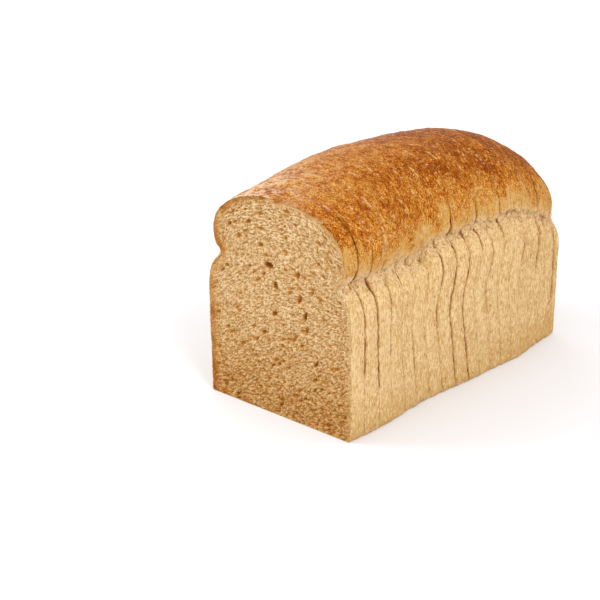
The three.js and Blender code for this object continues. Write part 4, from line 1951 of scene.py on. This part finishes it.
@dataclass(frozen=True)
class Studio:
    """The camera, the pale floor and the soft light."""

    camera_place: tuple[float, float, float] = (0.5286, -0.67255, 0.385)
    azimuth: float = 42.07
    elevation: float = 21.97
    roll: float = -0.51
    lens: float = 90.0
    sensor_width: float = 36.0
    nearest: float = 0.05
    floor_half: float = 6.0
    floor_near: Tint = Tint(0.765, 0.765, 0.785)
    floor_far: Tint = Tint(0.98, 0.98, 0.98)
    floor_whitens_from: float = 0.8
    floor_whitening: float = 0.7
    floor_roughness: float = 0.9
    floor_shine: float = 0.1
    sky: float = 1.0
    lamps: tuple[Lamp, ...] = (
        Lamp("key_light", (1.1, -0.5, 1.0), 0.6, 12.0),
        Lamp("left_light", (-1.1, -0.7, 1.1), 0.8, 10.0),
        Lamp("rim_light", (-1.2, 0.9, 0.45), 0.8, 5.0),
    )

    def build(self) -> None:
        """Set up the view, the floor and the lights."""
        self.add_camera()
        self.add_floor()
        self.add_sky()
        for lamp in self.lamps:
            lamp.build()
        scene = bpy.context.scene
        scene.view_settings.view_transform = "Standard"
        scene.view_settings.look = "None"

    def add_camera(self) -> None:
        """Add the camera where the photograph was taken from."""
        az, el, roll = radians(self.azimuth), radians(self.elevation), radians(self.roll)
        back = Vector((sin(az) * cos(el), -cos(az) * cos(el), sin(el)))
        right = Vector((cos(az), sin(az), 0.0))
        up = back.cross(right)
        turned_right = right * cos(roll) + up * sin(roll)
        turned_up = up * cos(roll) - right * sin(roll)
        turn = Matrix((turned_right, turned_up, back)).transposed()
        data = bpy.data.cameras.new("camera")
        data.lens = self.lens
        data.sensor_width = self.sensor_width
        data.clip_start = self.nearest
        camera = bpy.data.objects.new("camera", data)
        camera.matrix_world = Matrix.Translation(self.camera_place) @ turn.to_4x4()
        bpy.context.scene.collection.objects.link(camera)
        bpy.context.scene.camera = camera

    def add_floor(self) -> None:
        """Add the pale floor, which whitens towards its far edge."""
        half = self.floor_half
        corners = [(-half, -half, 0), (half, -half, 0), (half, half, 0), (-half, half, 0)]
        mesh = bpy.data.meshes.new("floor")
        mesh.from_pydata(corners, [], [(0, 1, 2, 3)])
        material, sheet, shader = new_material("floor")
        place = sheet.add("ShaderNodeTexCoord").outputs["Object"]
        far = sheet.add("ShaderNodeVectorMath", {0: place}, operation="LENGTH").outputs["Value"]
        beyond = sheet.minus(far, self.floor_whitens_from)
        share = sheet.times(beyond, self.floor_whitening, clamp=True)
        tint = sheet.mix(share, self.floor_near.rgba, self.floor_far.rgba)
        sheet.tree.links.new(tint, shader.inputs["Base Color"])
        shader.inputs["Roughness"].default_value = self.floor_roughness
        shader.inputs["Specular IOR Level"].default_value = self.floor_shine
        mesh.materials.append(material)
        floor = bpy.data.objects.new("floor", mesh)
        bpy.context.scene.collection.objects.link(floor)

    def add_sky(self) -> None:
        """Make the room a plain white."""
        world = bpy.data.worlds.new("studio")
        world.use_nodes = True
        background = world.node_tree.nodes["Background"]
        background.inputs["Color"].default_value = (1.0, 1.0, 1.0, 1.0)
        background.inputs["Strength"].default_value = self.sky
        bpy.context.scene.world = world


@dataclass
class SideSteps:
    """The slices' small sideways steps, drawn as the solids draw them."""

    form: LoafForm
    reach: float = 0.3
    state: int = 41
    factor: int = 1664525
    offset: int = 1013904223
    modulus: int = 4294967296

    def at(self, y: float) -> float:
        """Give the next piece's sideways place, at y along the loaf."""
        self.state = (self.state * self.factor + self.offset) % self.modulus
        return self.form.side_sway(y) + self.reach * (self.state / self.modulus * 2 - 1)


@dataclass
class Loaf:
    """The whole loaf: eighteen slices, the heel and the bran that lies on them."""

    form: LoafForm = LoafForm()
    relief: CrustRelief = CrustRelief()
    bake: BakeMap = BakeMap()
    tear_lift: float = 0.9
    tear_turn: float = 2.6

    def build(self, effects: Effects) -> None:
        """Build, dress and place every piece.

        Args:
            effects: The shader groups that the finishes share.
        """
        bread = BreadFinish("cut_bread", effects).build()
        heel_crust = BreadFinish("heel_crust", effects).build()
        shared = (self.form, self.relief, self.bake)
        steps, front_ease, back_ease = self.side_places()
        pieces: list[LoafPiece] = []
        for number in range(1, self.form.slice_count + 1):
            sides = (steps[number - 1], front_ease[number - 1], back_ease[number - 1])
            lift = self.tear_lift * sin(self.tear_turn * number)
            piece = Slice(*shared, *sides, tear_lift=lift, number=number)
            piece.build()
            node = f"slice_{number:02d}"
            place_piece(piece.surface.to_object(f"{node}_bread", bread), node)
            pieces.append(piece)
        heel = Heel(*shared, steps[-1], front_ease[-1])
        heel.build()
        place_piece(heel.surface.to_object("heel_bread", heel_crust), "heel")
        flakes = BranFlakes()
        flakes.build(pieces + [heel])
        place_piece(flakes.surface.to_object("bran_flakes", BranFinish().build()))

    def side_places(self) -> tuple[Array, Array, Array]:
        """Work out where each piece stands sideways.

        Returns:
            Each piece's step, and how far its front and its back are drawn towards the
            neighbour there, so that both meet halfway at their cut.
        """
        draws = SideSteps(self.form)
        middles = [(number + 0.5) * self.form.slice_thickness for number in range(self.form.slice_count)]
        steps = np.array([draws.at(y) for y in middles + [self.form.length]])
        meet = np.diff(steps) / 2.0
        return steps, np.append(0.0, -meet), np.append(meet, 0.0)


def place_piece(piece: bpy.types.Object, node: str | None = None) -> None:
    """Tell the frame what a piece rides on, and hide the solid that it replaces.

    Args:
        piece: The new piece.
        node: The solid that it replaces, if it replaces one.
    """
    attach(piece, "root")
    if node:
        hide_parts(node)
    log.info("%s: %d faces", piece.name, len(piece.data.polygons))


def main() -> None:
    """Build the loaf and the studio."""
    logging.basicConfig(level=logging.INFO, format="%(name)s: %(message)s")
    Loaf().build(Effects.make())
    Studio().build()


if __name__ == "__main__":
    main()
